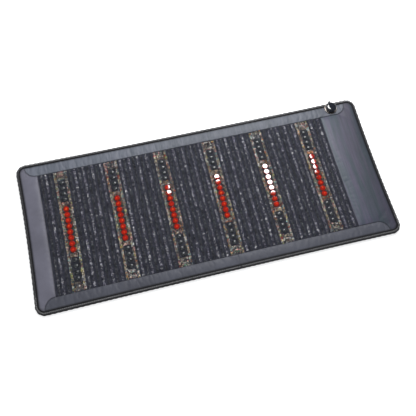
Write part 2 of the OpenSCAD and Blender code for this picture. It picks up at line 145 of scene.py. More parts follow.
def settled(points):
    """The soft mat as it lies: its ends are drawn in and its sides spread towards the corners."""
    end_draw, side_spread = 8 * MM, 5 * MM
    points = np.array(points, float)
    along, across = points[:, 0] / HALF_L, points[:, 1] / HALF_W
    points[:, 0] -= end_draw * along ** 3 * np.clip(1 - across ** 2, 0, 1)
    points[:, 1] += side_spread * across ** 3 * np.abs(along) ** 2.5
    return points


def wobble(x, y, size, seed):
    """Smooth noise from -1 to 1 over the plane, with bumps about size apart."""
    u, v = np.asarray(x) / size, np.asarray(y) / size
    i, j = np.floor(u).astype(np.int64), np.floor(v).astype(np.int64)
    fu, fv = smooth_step(u - i), smooth_step(v - j)

    def corner(a, b):
        mixed = (a * 374761393 + b * 668265263 + seed * 2246822519) & 0xFFFFFFFF
        mixed = ((mixed ^ (mixed >> 13)) * 1274126177) & 0xFFFFFFFF
        return ((mixed ^ (mixed >> 16)) & 0xFFFF) / 32767.5 - 1

    near = corner(i, j) * (1 - fu) + corner(i + 1, j) * fu
    far = corner(i, j + 1) * (1 - fu) + corner(i + 1, j + 1) * fu
    return near * (1 - fv) + far * fv


def solids(node):
    """(low, high) corners of each separate solid of a CAD node, in order of x."""
    bm = bmesh.new()
    bm.from_mesh(frame["nodes"][node].data)
    bmesh.ops.remove_doubles(bm, verts=bm.verts, dist=1e-6)
    seen, found = set(), []
    for start in bm.verts:
        if start in seen:
            continue
        seen.add(start)
        stack, points = [start], []
        while stack:
            vertex = stack.pop()
            points.append(tuple(vertex.co))
            for edge in vertex.link_edges:
                other = edge.other_vert(vertex)
                if other not in seen:
                    seen.add(other)
                    stack.append(other)
        found.append((np.min(points, axis=0), np.max(points, axis=0)))
    bm.free()
    return sorted(found, key=lambda box: (round(box[0][0], 4), box[0][1]))


# ---- Materials ----

class Paint:
    """A node material under construction, with a Principled surface."""

    def __init__(self, name, rest_attribute=True, **surface):
        self.material = bpy.data.materials.new(name)
        self.material.use_nodes = True
        self.tree = self.material.node_tree
        self.tree.nodes.clear()
        self.surface = self.add("BsdfPrincipled", surface)
        self.add("OutputMaterial", {"Surface": self.surface.outputs[0]})
        if rest_attribute:
            self.place = self.add("Attribute", attribute_name="place").outputs["Vector"]
        else:
            self.place = self.add("TexCoord").outputs["Object"]

    def add(self, kind, inputs=None, **settings):
        node = self.tree.nodes.new("ShaderNode" + kind)
        for key, value in settings.items():
            setattr(node, key, value)
        for key, value in (inputs or {}).items():
            self.put(node, key, value)
        return node

    def put(self, node, key, value):
        if isinstance(value, bpy.types.NodeSocket):
            self.tree.links.new(value, node.inputs[key])
        else:
            node.inputs[key].default_value = value

    def set(self, **inputs):
        for key, value in inputs.items():
            self.put(self.surface, key.replace("_", " "), value)

    def stretched(self, scale, turn=0.0):
        """Place scaled along each axis and then turned about Z."""
        inputs = {"Vector": self.place, "Scale": scale, "Rotation": (0, 0, turn)}
        return self.add("Mapping", inputs).outputs[0]

    def noise(self, scale, detail=3.0, roughness=0.55, vector=None):
        inputs = {"Vector": vector or self.place, "Scale": scale, "Detail": detail, "Roughness": roughness}
        return self.add("TexNoise", inputs).outputs["Fac"]

    def cells(self, scale, feature="DISTANCE_TO_EDGE"):
        inputs = {"Vector": self.place, "Scale": scale}
        return self.add("TexVoronoi", inputs, feature=feature).outputs["Distance"]

    def wave(self, scale, direction, vector=None):
        inputs = {"Vector": vector or self.place, "Scale": scale}
        return self.add("TexWave", inputs, bands_direction=direction).outputs["Fac"]

    def math(self, kind, a, b):
        node = self.add("Math", operation=kind)
        self.put(node, 0, a)
        self.put(node, 1, b)
        return node.outputs[0]

    def ramp(self, factor, stops):
        node = self.add("ValToRGB", {"Fac": factor})
        elements = node.color_ramp.elements
        while len(elements) < len(stops):
            elements.new(0.5)
        for element, (position, colour) in zip(elements, stops):
            element.position = position
            element.color = (*colour, 1)
        return node.outputs["Color"]

    def mottled(self, factor, colour, dark, light):
        """A colour that runs from a darker to a lighter shade of itself."""
        return self.ramp(factor, [(0.3, shade(colour, dark)), (0.7, shade(colour, light))])

    def range(self, factor, to_min, to_max, from_min=0.0, from_max=1.0):
        names = ("Value", "To Min", "To Max", "From Min", "From Max")
        values = (factor, to_min, to_max, from_min, from_max)
        return self.add("MapRange", dict(zip(names, values))).outputs["Result"]

    def scaled(self, colour, factor):
        return self.add("VectorMath", {0: colour, "Scale": factor}, operation="SCALE").outputs[0]

    def bump(self, height, depth, after=None):
        inputs = {"Height": height, "Distance": depth, "Strength": 1.0}
        node = self.add("Bump", inputs)
        if after is not None:
            self.put(node, "Normal", after)
        self.set(Normal=node.outputs[0])
        return node.outputs[0]


def shade(colour, factor):
    return tuple(min(1.0, c * factor) for c in colour)


def leather(name, colour, roughness, streak=None, painted_falloff=None):
    """Soft grained leather-look cloth, darker in its folds, where shade is painted in by the fold attribute.
    streak is a second colour that drifts through it, and the last argument, (x from, x to, factor), paints a
    falloff of light along the mat."""
    paint = Paint(name)
    cloudy = paint.noise(9, 4)
    base = paint.mottled(cloudy, colour, 0.86, 1.14)
    if streak:
        drift = paint.noise(4.0, 6, 0.75, paint.stretched((7, 0.5, 1), math.radians(-24)))
        other = paint.ramp(drift, [(0.42, colour), (0.58, streak)])
        base = paint.add("Mix", {6: base, 7: other, "Factor": 0.85}, data_type="RGBA").outputs[2]
        hatch = paint.noise(9.0, 3, 0.6, paint.stretched((11, 0.9, 1), math.radians(-24)))
        base = paint.scaled(base, paint.range(hatch, 0.7, 1.3))
    # Painted shade: the fold attribute darkens the colour beside seams and the binding, and the falloff
    # paints light fading along the mat
    fold = paint.add("Attribute", attribute_name="fold").outputs["Fac"]
    light = paint.range(fold, 1.0, 0.3)
    if painted_falloff:
        along = paint.add("SeparateXYZ", {0: paint.place}).outputs["X"]
        light = paint.math("MULTIPLY", light, paint.range(along, 1.0, painted_falloff[2], painted_falloff[0], painted_falloff[1]))
    grain = paint.cells(720)
    pores = paint.noise(2600, 2)
    paint.set(Base_Color=paint.scaled(base, light))
    paint.set(Roughness=paint.range(paint.noise(260, 3), roughness - 0.05, roughness + 0.08))
    paint.set(Specular_IOR_Level=0.4, Sheen_Weight=0.06, Sheen_Roughness=0.4)
    first = paint.bump(grain, 0.25 * MM)
    paint.bump(pores, 0.06 * MM, first)
    return paint.material


def tape_cloth():
    """Woven binding tape with diagonal ribs and a painted highlight along the crest of its bead."""
    paint = Paint("binding_tape")
    highlight_patches = paint.noise(60, 4)
    crest = paint.add("Attribute", attribute_name="crest").outputs["Fac"]
    share = paint.math("MULTIPLY", crest, paint.range(highlight_patches, 0.5, 1.4))
    # Painted highlight: the tape is lighter along the crest of its bead, in patches
    base = paint.ramp(share, [(0.0, (0.008, 0.008, 0.010)), (0.95, (0.10, 0.10, 0.105))])
    along = paint.wave(420, "X", paint.stretched((1, 1, 1), math.radians(45)))
    across = paint.wave(420, "X", paint.stretched((1, 1, 1), math.radians(-45)))
    weave = paint.math("MULTIPLY", along, across)
    paint.set(Base_Color=base, Roughness=0.62, Specular_IOR_Level=0.18, Sheen_Weight=0.06)
    paint.bump(weave, 0.35 * MM)
    return paint.material


def net_cloth():
    """Fine dark net over the tubes of the stone panel."""
    paint = Paint("panel_mesh")
    mixed = paint.noise(45, 4)
    base = paint.ramp(mixed, [(0.3, (0.018, 0.0195, 0.029)), (0.75, (0.05, 0.053, 0.072))])
    holes = paint.math("MULTIPLY", paint.wave(330, "X"), paint.wave(330, "Y"))
    lumps = paint.cells(190, "F1")
    paint.set(Base_Color=base, Roughness=0.7, Specular_IOR_Level=0.15, Sheen_Weight=0.05)
    first = paint.bump(lumps, 0.7 * MM)
    paint.bump(holes, 0.4 * MM, first)
    return paint.material


def chip_stone(name, roughness, clearness=0.0):
    """Broken stone whose colour is each chip's own tint, with cloudy veins."""
    paint = Paint(name)
    tint = paint.add("Attribute", attribute_name="tint").outputs["Color"]
    veins = paint.noise(420, 4, 0.6)
    base = paint.scaled(tint, paint.range(veins, 0.55, 1.5))
    paint.set(Base_Color=base, Roughness=paint.range(veins, roughness, roughness + 0.2))
    paint.set(Coat_Weight=clearness, Coat_Roughness=0.08)
    paint.bump(paint.noise(1500, 2), 0.05 * MM)
    return paint.material


def lit_crystal():
    """Red disc that looks lit from below, mottled towards its rim, with a polished top and a dull side."""
    paint = Paint("photon_crystal", IOR=1.85)
    ring = paint.add("Attribute", attribute_name="ring").outputs["Fac"]
    cloud = paint.math("MULTIPLY", paint.math("SUBTRACT", paint.noise(105, 2), 0.5), 1.7)
    depth = paint.math("ADD", ring, cloud)
    # Painted light: the glow stands in for light from below through the disc, bright in the middle, with a
    # thin bright ring near the rim as a painted glint; the base colour darkens towards the rim with it
    glow = paint.ramp(depth, [(0.0, (1.0, 0.20, 0.015)), (0.16, (1.0, 0.05, 0.003)),
                              (0.36, (0.55, 0.008, 0.001)), (0.54, (0.13, 0.002, 0.001)),
                              (0.74, (0.92, 0.024, 0.002)), (0.92, (0.07, 0.001, 0.001)),
                              (1.0, (0.5, 0.04, 0.004))])
    polished = paint.ramp(ring, [(0.865, (1, 1, 1)), (0.89, (0, 0, 0))])
    paint.set(Base_Color=paint.ramp(depth, [(0.0, (0.28, 0.008, 0.002)), (1.0, (0.05, 0.001, 0.001))]))
    paint.set(Emission_Color=glow, Emission_Strength=0.46, Roughness=paint.range(polished, 0.6, 0.04))
    paint.set(Specular_IOR_Level=paint.range(polished, 0.1, 0.5))
    paint.set(Coat_Weight=polished, Coat_Roughness=0.02, Coat_IOR=1.6)
    return paint.material


def black_glass():
    """Polished obsidian with faint grey clouds."""
    paint = Paint("obsidian", Roughness=0.26, IOR=1.5)
    cloud = paint.noise(170, 4)
    paint.set(Base_Color=paint.ramp(cloud, [(0.4, (0.013, 0.014, 0.017)), (0.62, (0.06, 0.068, 0.074))]))
    paint.set(Coat_Weight=0.2, Coat_Roughness=0.08)
    paint.bump(paint.noise(110, 2), 0.4 * MM)
    return paint.material


def thread(name, colour):
    """Twisted sewing thread."""
    paint = Paint(name)
    twist = paint.wave(900, "DIAGONAL")
    paint.set(Base_Color=paint.ramp(twist, [(0.0, shade(colour, 0.55)), (1.0, colour)]), Roughness=0.55)
    paint.bump(twist, 0.12 * MM)
    return paint.material


def moulded(name, colour, roughness, rest_attribute=True, metallic=0.0, coat=0.0, fine=900.0, depth=0.03):
    """Moulded, cast or rolled material: faint clouds in its colour, a fine surface and small scratches."""
    paint = Paint(name, rest_attribute, Metallic=metallic)
    cloud = paint.noise(55, 4)
    paint.set(Base_Color=paint.mottled(cloud, colour, 0.85, 1.12))
    scratches = paint.noise(40, 2, 0.5, paint.stretched((1, 30, 1)))
    paint.set(Roughness=paint.range(scratches, roughness * 0.8, roughness * 1.25))
    paint.set(Coat_Weight=coat, Coat_Roughness=0.03)
    paint.bump(paint.noise(fine, 2), depth * MM)
    return paint.material


def fibre(name, colour, scale, depth):
    """Felt or open foam: mottled colour and a rough, fibrous surface."""
    paint = Paint(name, Roughness=0.95)
    fluff = paint.noise(scale, 5, 0.7)
    paint.set(Base_Color=paint.mottled(fluff, colour, 0.7, 1.2), Sheen_Weight=0.3)
    paint.bump(fluff, depth * MM)
    return paint.material


# ---- Mesh helpers ----

def in_scene(name, data):
    """A new object with this data."""
    thing = bpy.data.objects.new(name, data)
    bpy.context.scene.collection.objects.link(thing)
    return thing


def new_piece(name, verts, faces, material, smooth=True, closed=True, rigid=False, **numbers):
    """A mesh object from arrays. faces is a list of arrays, each with one size of face.
    numbers are named values, one per point: a single number or a colour."""
    verts = np.asarray(verts, float).reshape(-1, 3)
    rest = verts.astype(np.float32)
    verts = rest if rigid else settled(verts).astype(np.float32)
    loops = np.concatenate([np.asarray(group, np.int32).ravel() for group in faces])
    sizes = np.concatenate([np.full(len(group), len(group[0])) for group in faces])
    mesh = bpy.data.meshes.new(name)
    mesh.vertices.add(len(verts))
    mesh.vertices.foreach_set("co", verts.ravel())
    mesh.loops.add(len(loops))
    mesh.loops.foreach_set("vertex_index", loops)
    mesh.polygons.add(len(sizes))
    mesh.polygons.foreach_set("loop_start", np.concatenate([[0], np.cumsum(sizes)[:-1]]).astype(np.int32))
    mesh.update(calc_edges=True)
    mesh.validate()
    if closed:
        bm = bmesh.new()
        bm.from_mesh(mesh)
        bmesh.ops.recalc_face_normals(bm, faces=bm.faces)
        bm.to_mesh(mesh)
        bm.free()
    mesh.polygons.foreach_set("use_smooth", np.full(len(mesh.polygons), smooth))
    place = mesh.attributes.new("place", "FLOAT_VECTOR", "POINT")
    place.data.foreach_set("vector", rest.ravel())
    for key, values in numbers.items():
        values = np.asarray(values, np.float32)
        if values.ndim == 1:
            mesh.attributes.new(key, "FLOAT", "POINT").data.foreach_set("value", values)
        else:
            mesh.attributes.new(key, "FLOAT_COLOR", "POINT").data.foreach_set("color", values.ravel())
    mesh.materials.append(material)
    return in_scene(name, mesh)


def grid_faces(rows, columns, first=0):
    i, j = np.meshgrid(np.arange(rows - 1), np.arange(columns - 1), indexing="ij")
    a = (first + i * columns + j).ravel()
    return np.stack([a, a + columns, a + columns + 1, a + 1], axis=1)


def closed_sheet(name, upper, lower, material, **numbers):
    """A closed sheet between two grids of points, each of shape (along, across, 3). numbers are named values
    of shape (along, across), used on both sides."""
    rows, columns = upper.shape[:2]
    count = rows * columns
    index = np.arange(count).reshape(rows, columns)
    ring = np.concatenate([index[:-1, 0], index[-1, :-1], index[:0:-1, -1], index[0, :0:-1]])
    after = np.roll(ring, -1)
    walls = np.stack([ring + count, after + count, after, ring], axis=1)
    bottom = grid_faces(rows, columns, count)[:, ::-1]
    verts = np.concatenate([upper.reshape(-1, 3), lower.reshape(-1, 3)])
    faces = np.concatenate([grid_faces(rows, columns), bottom, walls])
    numbers = {key: np.tile(np.ravel(values), 2) for key, values in numbers.items()}
    return new_piece(name, verts, [faces], material, **numbers)


def refine(grid, axis=0):
    """Puts a point halfway between neighbours of a grid, on a smooth curve through four of them."""
    grid = np.moveaxis(grid, axis, 0)
    padded = np.concatenate([2 * grid[:1] - grid[1:2], grid, 2 * grid[-1:] - grid[-2:-1]])
    middles = (9 * (padded[1:-2] + padded[2:-1]) - padded[:-3] - padded[3:]) / 16
    result = np.empty((2 * len(grid) - 1, *grid.shape[1:]))
    result[::2], result[1::2] = grid, middles
    return np.moveaxis(result, 0, axis)


def lathe_shape(profile, segments):
    """(points, [triangles, quads]) of a turned form. profile holds (radius, height) from axis to axis."""
    profile = np.asarray(profile, float)
    angles = np.linspace(0, 2 * math.pi, segments, endpoint=False)
    circle = np.stack([np.cos(angles), np.sin(angles)], axis=1)
    rings = profile[1:-1]
    points = [[0, 0, profile[0][1]]]
    points += [[radius * c, radius * s, height] for radius, height in rings for c, s in circle]
    points.append([0, 0, profile[-1][1]])
    step = np.arange(segments)
    after = (step + 1) % segments
    last = 1 + (len(rings) - 1) * segments
    top = len(points) - 1
    triangles = [np.stack([np.zeros(segments, int), 1 + after, 1 + step], axis=1),
                 np.stack([np.full(segments, top), last + step, last + after], axis=1)]
    quads = []
    for ring in range(len(rings) - 1):
        a = 1 + ring * segments
        quads.append(np.stack([a + step, a + after, a + segments + after, a + segments + step], axis=1))
    return np.array(points), [np.concatenate(triangles), np.concatenate(quads)]


def copies(shape, matrices, places):
    """(points, faces) of a shape copied with one 3 by 3 matrix and one place for each copy."""
    points, faces = shape
    count = len(places)
    verts = np.einsum("nij,pj->npi", matrices, points) + np.asarray(places)[:, None, :]
    shift = (np.arange(count) * len(points))[:, None, None]
    return verts.reshape(-1, 3), [(group[None] + shift).reshape(-1, group.shape[1]) for group in faces]


def joined(parts):
    """(points, faces) of several (points, faces) with the same kinds of faces."""
    verts, groups, first = [], None, 0
    for points, faces in parts:
        groups = groups or [[] for _ in faces]
        for group, face in zip(groups, faces):
            group.append(face + first)
        verts.append(points)
        first += len(points)
    return np.concatenate(verts), [np.concatenate(group) for group in groups]


def across_fold(piece):
    """Bakes the piece's placing into its mesh."""
    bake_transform(piece)


def stands_for(piece, half, part):
    """The piece takes the place of a part's nodes in its half of the mat."""
    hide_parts(f"{half}_{part}", f"middle_{part}")
    across_fold(piece)


def rides(piece, body, node):
    """The piece moves with a body and takes the place of a node."""
    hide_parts(node)
    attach(piece, body)


def even_run(start, stop, step):
    """Even places from start to stop, about step apart, with one at SPLIT_X."""
    foot = np.linspace(start, SPLIT_X, round((SPLIT_X - start) / step))
    head = np.linspace(SPLIT_X, stop, round((stop - SPLIT_X) / step))
    return np.concatenate([foot, head[1:]])


def sheet_halves(part, slot, upper, lower, material, **numbers):
    """A closed sheet over the mat's whole length, as two halves that take the place of a part's nodes."""
    xs = upper[:, 0, 0]
    split = int(np.argmin(np.abs(xs - SPLIT_X)))
    pieces = []
    for half, share in (("foot", slice(0, split + 1)), ("head", slice(split, len(xs)))):
        values = {key: grid[share] for key, grid in numbers.items()}
        piece = closed_sheet(f"{part}_{half}_half", upper[share], lower[share], material, **values)
        stands_for(piece, half, part)
        pieces.append(piece)
    return pieces


# ---- Cloth ----

def swell(points, pinned, pressure, growth, cap):
    """Cloth simulation of an open grid of points, pinned where asked. It grows a little and swells upwards.
    Returns the grid with each point moved by at most cap."""
    rows, columns = points.shape[:2]
    mesh = bpy.data.meshes.new("cloth_study")
    mesh.from_pydata(points.reshape(-1, 3).tolist(), [], grid_faces(rows, columns).tolist())
    sheet = in_scene("cloth_study", mesh)
    group = sheet.vertex_groups.new(name="pin")
    group.add(np.flatnonzero(pinned.ravel()).tolist(), 1.0, "REPLACE")
    cloth = sheet.modifiers.new("cloth", "CLOTH")
    settings = cloth.settings
    settings.quality = 6
    settings.mass = 0.15
    settings.tension_stiffness = settings.compression_stiffness = 25
    settings.shear_stiffness = 10
    settings.bending_stiffness = 0.4
    settings.air_damping = 2
    settings.use_pressure = True
    settings.uniform_pressure_force = pressure
    settings.shrink_min = settings.shrink_max = -growth
    settings.vertex_group_mass = "pin"
    settings.effector_weights.gravity = 0
    cloth.collision_settings.use_collision = False
    scene = bpy.context.scene
    last_frame = 20
    for number in range(1, last_frame + 1):
        scene.frame_set(number)
    evaluated = sheet.evaluated_get(bpy.context.evaluated_depsgraph_get())
    moved = np.empty(rows * columns * 3, np.float32)
    evaluated.data.vertices.foreach_get("co", moved)
    scene.frame_set(1)
    bpy.data.objects.remove(sheet)
    bpy.data.meshes.remove(mesh)
    shift = moved.reshape(points.shape) - points
    length = np.linalg.norm(shift, axis=-1, keepdims=True)
    return points + shift * (cap * np.tanh(length / cap) / np.maximum(length, 1e-9))


def crown(points, pinned, height):
    """Quick stand-in for swell(): the free points rise with their distance from the pins."""
    free = (~pinned).astype(float)
    for _ in range(12):
        padded = np.pad(free, 1, mode="edge")
        free = (padded[:-2, 1:-1] + padded[2:, 1:-1] + padded[1:-1, :-2] + padded[1:-1, 2:]) / 4 * ~pinned
    raised = points.copy()
    raised[..., 2] += height * np.sqrt(free)
    return raised


def padded_top(points, pinned, pressure, growth, cap):
    return swell(points, pinned, pressure, growth, cap)


# ---- Borders ----

BORDER_STEP = 5.5 * MM
HEM_R = 4 * MM
HEM_Z = CLOTH_Z1 + 0.4 * MM
HEM_THICK = 0.8 * MM
SEAM_RAISE = 0.9 * MM
# The leather is held down this near to its seam with the panel, and to the mat's edge
SEWN_W = 2.2 * MM
COVERED_W = BINDING_W - 1 * MM


def rounded(distance, radius, drop):
    """How far a hem of this radius has dropped at a distance from its edge."""
    t = np.clip(1 - distance / radius, 0, 1)
    return drop * (1 - np.sqrt(1 - t * t))


def grid_of(xs, y_from, y_to, shares):
    """Grid of plan points: one column for each x, between two curves in y."""
    x = np.repeat(xs[:, None], len(shares), axis=1)
    y = y_from[:, None] + (y_to - y_from)[:, None] * shares[None]
    return x, y


def arc_steps(count):
    return np.linspace(0, math.pi / 2, count)


def fold_shade(seam, edge):
    """Weight of the painted shade in the fold beside a seam or beside the binding, from 0 to 1: how deep the
    leather lies there.
    """
    beside_seam = smooth_step((4 * MM - seam) / (3 * MM))
    beside_binding = smooth_step((BINDING_W + 8 * MM - edge) / (8 * MM))
    return np.maximum(0.8 * beside_seam, beside_binding)


def long_border(side):
    """Padded strip along the front (side -1) or the rear (side 1), with an arc at each end."""
    arc = ARC_R * np.cos(arc_steps(13))
    straight = even_run(ARC_X0, ARC_X1, BORDER_STEP)
    xs = np.concatenate([ARC_X0 - arc[:-1], straight, (ARC_X1 + arc[::-1])[1:]])
    past = np.clip(np.maximum(ARC_X0 - xs, xs - ARC_X1), 0, ARC_R)
    inner = ARC_Y - np.sqrt(np.maximum(ARC_R ** 2 - past ** 2, 0))
    outer = outline_y(xs, BORDER_INSET)
    shares = np.concatenate([[0, 0.012, 0.03, 0.055, 0.09, 0.14], np.linspace(0.2, 0.86, 12), [0.93, 1]])
    x, y = grid_of(xs, inner, outer, shares)
    seam = np.maximum(long_seam_distance(x, y), 0)
    beside_panel = smooth_step((x - PANEL_X0) / HEM_R + 1) * smooth_step((PANEL_X1 - x) / HEM_R + 1)
    edge_z = BORDER_Z1 + SEAM_RAISE + (HEM_Z + HEM_THICK - BORDER_Z1 - SEAM_RAISE) * beside_panel
    raise_z = SEAM_RAISE * (1 - beside_panel) * smooth_step((25 * MM - seam) / (15 * MM))
    z = BORDER_Z1 + raise_z - rounded(seam, HEM_R, BORDER_Z1 + raise_z - edge_z + 1.2 * MM)
    edge = edge_distance(x, y)
    z = z + (BORDER_Z1 - z) * smooth_step((BINDING_W + 2 * MM - edge) / (2 * MM))
    under_flange = from_connector(x, y * side) < FLANGE_R + 1.5 * MM
    pinned = (seam < SEWN_W) | (edge < COVERED_W) | under_flange
    top = np.stack([x, y, z], axis=-1)
    top = padded_top(top, pinned, pressure=3.0, growth=0.008, cap=4 * MM)
    underside = np.stack([x, y, np.full_like(x, BORDER_Z0)], axis=-1)
    sag = smooth_step((7 * MM - seam) / (5 * MM)) * beside_panel
    underside[..., 2] -= (BORDER_Z0 - HEM_Z) * sag
    # Painted shade in the folds beside the seam and the binding
    fold = refine(fold_shade(seam, edge))
    grids = [refine(grid) for grid in (top, underside)]
    for grid in grids:
        grid[..., 1] *= side
    name = "rear" if side > 0 else "front"
    return sheet_halves(f"{name}_border", "border_leather", *grids, LIT_LEATHER[name], fold=fold)


def end_border(end):
    """Padded strip across the mat at the foot end or the head end."""
    gap = 0.3 * MM
    foot = end == "foot"
    outer_x = HALF_L - BORDER_INSET
    arc_x, panel_x = (-ARC_X0, -PANEL_X0) if foot else (ARC_X1, PANEL_X1)
    straight = np.linspace(panel_x + gap, arc_x, max(3, round((arc_x - panel_x) / BORDER_STEP)))
    arc = arc_x + ARC_R * np.cos(arc_steps(14))[::-1]
    rim = np.linspace(arc_x + ARC_R + 1 * MM, outer_x, round((outer_x - arc_x - ARC_R) / BORDER_STEP))
    xs = np.concatenate([straight[:-1], arc, rim])
    past = np.clip(xs - arc_x, 0, ARC_R)
    seam_y = ARC_Y - np.sqrt(np.maximum(ARC_R ** 2 - past ** 2, 0)) - gap
    seam_y[xs > arc_x + ARC_R] = HALF_W
    limit = np.minimum(outline_y(xs, BORDER_INSET), seam_y)
    ends = np.array([0, 0.004, 0.01, 0.02])
    shares = np.concatenate([ends, np.linspace(0.034, 0.966, 112), (1 - ends)[::-1]])
    x, y = grid_of(xs, -limit, limit, shares)
    sign = -1 if foot else 1
    seam = np.maximum(-long_seam_distance(x * sign, y), 0)
    panel = np.maximum(x - panel_x - gap, 0)
    edge = edge_distance(x, y)
    z = BORDER_Z1 - rounded(panel, HEM_R, BORDER_Z1 - HEM_Z - HEM_THICK)
    z = np.minimum(z, BORDER_Z1 - rounded(seam, 3 * MM, 1.4 * MM))
    pinned = (panel < SEWN_W) | (seam < 2 * MM) | (edge < COVERED_W)
    top = np.stack([x, y, z], axis=-1)
    growth, cap = (0.007, 3.5 * MM) if foot else (0.002, 4 * MM)
    top = padded_top(top, pinned, pressure=2.0, growth=growth, cap=cap)
    underside = np.stack([x, y, np.full_like(x, BORDER_Z0)], axis=-1)
    underside[..., 2] -= (BORDER_Z0 - HEM_Z) * smooth_step((7 * MM - panel) / (5 * MM))
    # Painted shade in the folds beside the panel, the arcs and the binding
    beside_arc = np.abs(y) > seam_y[:, None] - 30 * MM
    fold = refine(fold_shade(np.minimum(panel, np.where(beside_arc, seam, 1)), edge))
    grids = [refine(grid) for grid in (top, underside)]
    for grid in grids:
        grid[..., 0] *= sign
    piece = closed_sheet(f"{end}_end_border_pad", *grids, LIT_LEATHER[end], fold=fold)
    rides(piece, end, f"{end}_end_border")
    return [piece]


# ---- Edge binding ----

# Cross-section of the tape in millimetres, from its top lip to its lower one: distance inwards from the
# mat's edge, and height
TAPE_OUTSIDE = [(19.0, 23.3), (18.6, 24.6), (17.2, 25.4), (15.0, 25.9), (12.2, 26.1), (9.4, 26.0),
                (6.6, 25.5), (4.0, 24.4), (1.8, 22.4), (0.2, 19.4), (-0.7, 15.8), (-0.9, 12.0),
                (-0.6, 8.4), (0.2, 5.2), (1.6, 2.7), (3.6, 1.1), (6.2, 0.3), (9.2, 0.1), (12.1, 0.1)]
TAPE_INSIDE = [(18.8, 23.28), (17.6, 23.5), (16.2, 23.7), (14.4, 23.9), (12.0, 24.0), (9.6, 23.9),
               (7.2, 23.3), (5.2, 22.2), (3.4, 20.5), (2.0, 18.0), (1.1, 15.0), (0.9, 12.0),
               (1.2, 9.2), (2.0, 6.6), (3.2, 4.4), (5.0, 2.8), (7.2, 1.9), (9.6, 1.6), (12.0, 1.5)]
PUCKER_PITCH = 10 * MM
SCALLOP_PITCH = 27 * MM
# Nearer than this to the flange's middle, the tape is held down and has no stitches
HELD_R = FLANGE_R + 2 * MM


def rim_path(half, step):
    """Points of the mat's edge and their outward directions, round one half of the mat."""
    sign = -1 if half == "foot" else 1
    straight = HALF_L - CORNER_R
    corner_y = HALF_W - CORNER_R
    points, outward = [], []

    def run(start, stop, direction):
        length = math.dist(start, stop)
        for t in np.linspace(0, 1, max(2, round(length / step)), endpoint=False):
            points.append(np.array(start) + t * (np.array(stop) - np.array(start)))
            outward.append(direction)

    def turn(centre, angle):
        count = round(CORNER_R * math.pi / 2 / step)
        for a in np.linspace(angle, angle + math.pi / 2, count, endpoint=False):
            direction = (math.cos(a), math.sin(a))
            points.append(np.array(centre) + CORNER_R * np.array(direction))
            outward.append(direction)

    run((sign * SPLIT_X, -HALF_W), (straight, -HALF_W), (0, -1))
    turn((straight, -corner_y), -math.pi / 2)
    run((HALF_L, -corner_y), (HALF_L, corner_y), (1, 0))
    turn((straight, corner_y), 0)
    run((straight, HALF_W), (sign * SPLIT_X, HALF_W), (0, 1))
    points.append(np.array((sign * SPLIT_X, HALF_W)))
    outward.append((0, 1))
    points, outward = np.array(points), np.array(outward, float)
    points[:, 0] *= sign
    outward[:, 0] *= sign
    return points, outward


def edge_binding(half):
    """Binding tape folded round the edge, puckered by its overcast seam."""
    points, outward = rim_path(half, 2.6 * MM)
    steps = np.linalg.norm(np.diff(points, axis=0), axis=1)
    along = np.concatenate([[0], np.cumsum(steps)])[:, None]
    grids = []
    for profile, share in ((TAPE_OUTSIDE, 1.0), (TAPE_INSIDE, 0.35)):
        inward, height = (np.array(profile) * MM).T
        inward, height = np.repeat(inward[None], len(points), 0), np.repeat(height[None], len(points), 0)
        on_top = smooth_step((height - 17 * MM) / (6 * MM)) * smooth_step((19.3 * MM - inward) / (3 * MM))
        slant = along / PUCKER_PITCH + inward / (14 * MM)
        rope = np.sin(2 * math.pi * slant)
        sway = wobble(along, along * 0, 31 * MM, 5) * 0.5 * MM
        height = height + share * on_top * (rope * 0.85 * MM - 0.55 * MM + sway)
        drift = 2 * wobble(along, along * 0, 90 * MM, 9)
        scallop = 0.5 * (1 + np.sin(2 * math.pi * along / SCALLOP_PITCH + drift))
        side = smooth_step((10 * MM - inward) / (8 * MM))
        # Weight of the painted highlight along the bead's crest, stronger on the rope's ridges
        crest = np.exp(-((inward - 8 * MM) / (3.5 * MM)) ** 2) * (height > 12 * MM) * (0.6 + 0.4 * rope)
        inward = inward - side * (1.8 * MM * scallop + 0.4 * MM * rope)
        x = points[:, :1] - outward[:, :1] * inward
        y = points[:, 1:] - outward[:, 1:] * inward
        held = from_connector(x, y) < HELD_R
        height = np.where(held, np.minimum(height, FLANGE_LOW.z - 0.15 * MM), height)
        grids.append(np.stack([x, y, np.maximum(height, 0)], axis=-1))
    piece = closed_sheet(f"edge_binding_{half}_half", *grids, TAPE, crest=crest)
    stands_for(piece, half, "edge_binding")
    return piece


# ---- Stitches ----

SEAM_OFFSET = 3.6 * MM
SEAM_PITCH = 9 * MM
# Length and thickness of one stitch
SEAM_STITCH = (6.2 * MM, 1.0 * MM)
BINDING_STITCH = (9 * MM, 2.2 * MM)


def capsule():
    """Short thread stitch along X: thick in the middle and pulled in at its ends."""
    sides = 6
    stations = [(-1, 0.0), (-0.9, 0.5), (-0.55, 0.9), (0, 1.0), (0.55, 0.9), (0.9, 0.5), (1, 0.0)]
    points, faces = lathe_shape([(radius, station) for station, radius in stations], sides)
    return points[:, [2, 0, 1]], faces


def sewn(name, surfaces, places, directions, stitch, material):
    """A piece of stitches laid on the surfaces below the places, each along its direction."""
    length, thickness = stitch
    trees = [BVHTree.FromObject(s, bpy.context.evaluated_depsgraph_get()) for s in surfaces]
    found, frames = [], []
    for (x, y), (dx, dy) in zip(places, directions):
        hits = [tree.ray_cast(Vector((x, y, 0.1)), Vector((0, 0, -1))) for tree in trees]
        hits = [hit for hit in hits if hit[0] is not None]
        if not hits:
            continue
        point, normal = max(hits, key=lambda hit: hit[0].z)[:2]
        normal = normal if normal.z > 0 else -normal
        forward = Vector((dx, dy, 0))
        forward = (forward - normal * forward.dot(normal)).normalized()
        side = normal.cross(forward)
        found.append(point)
        frames.append(np.array([forward * length / 2, side * thickness / 2, normal * thickness / 2]).T)
    points, faces = copies(capsule(), np.array(frames), np.array(found))
    piece = new_piece(name, points, faces, material, closed=False)
    return piece


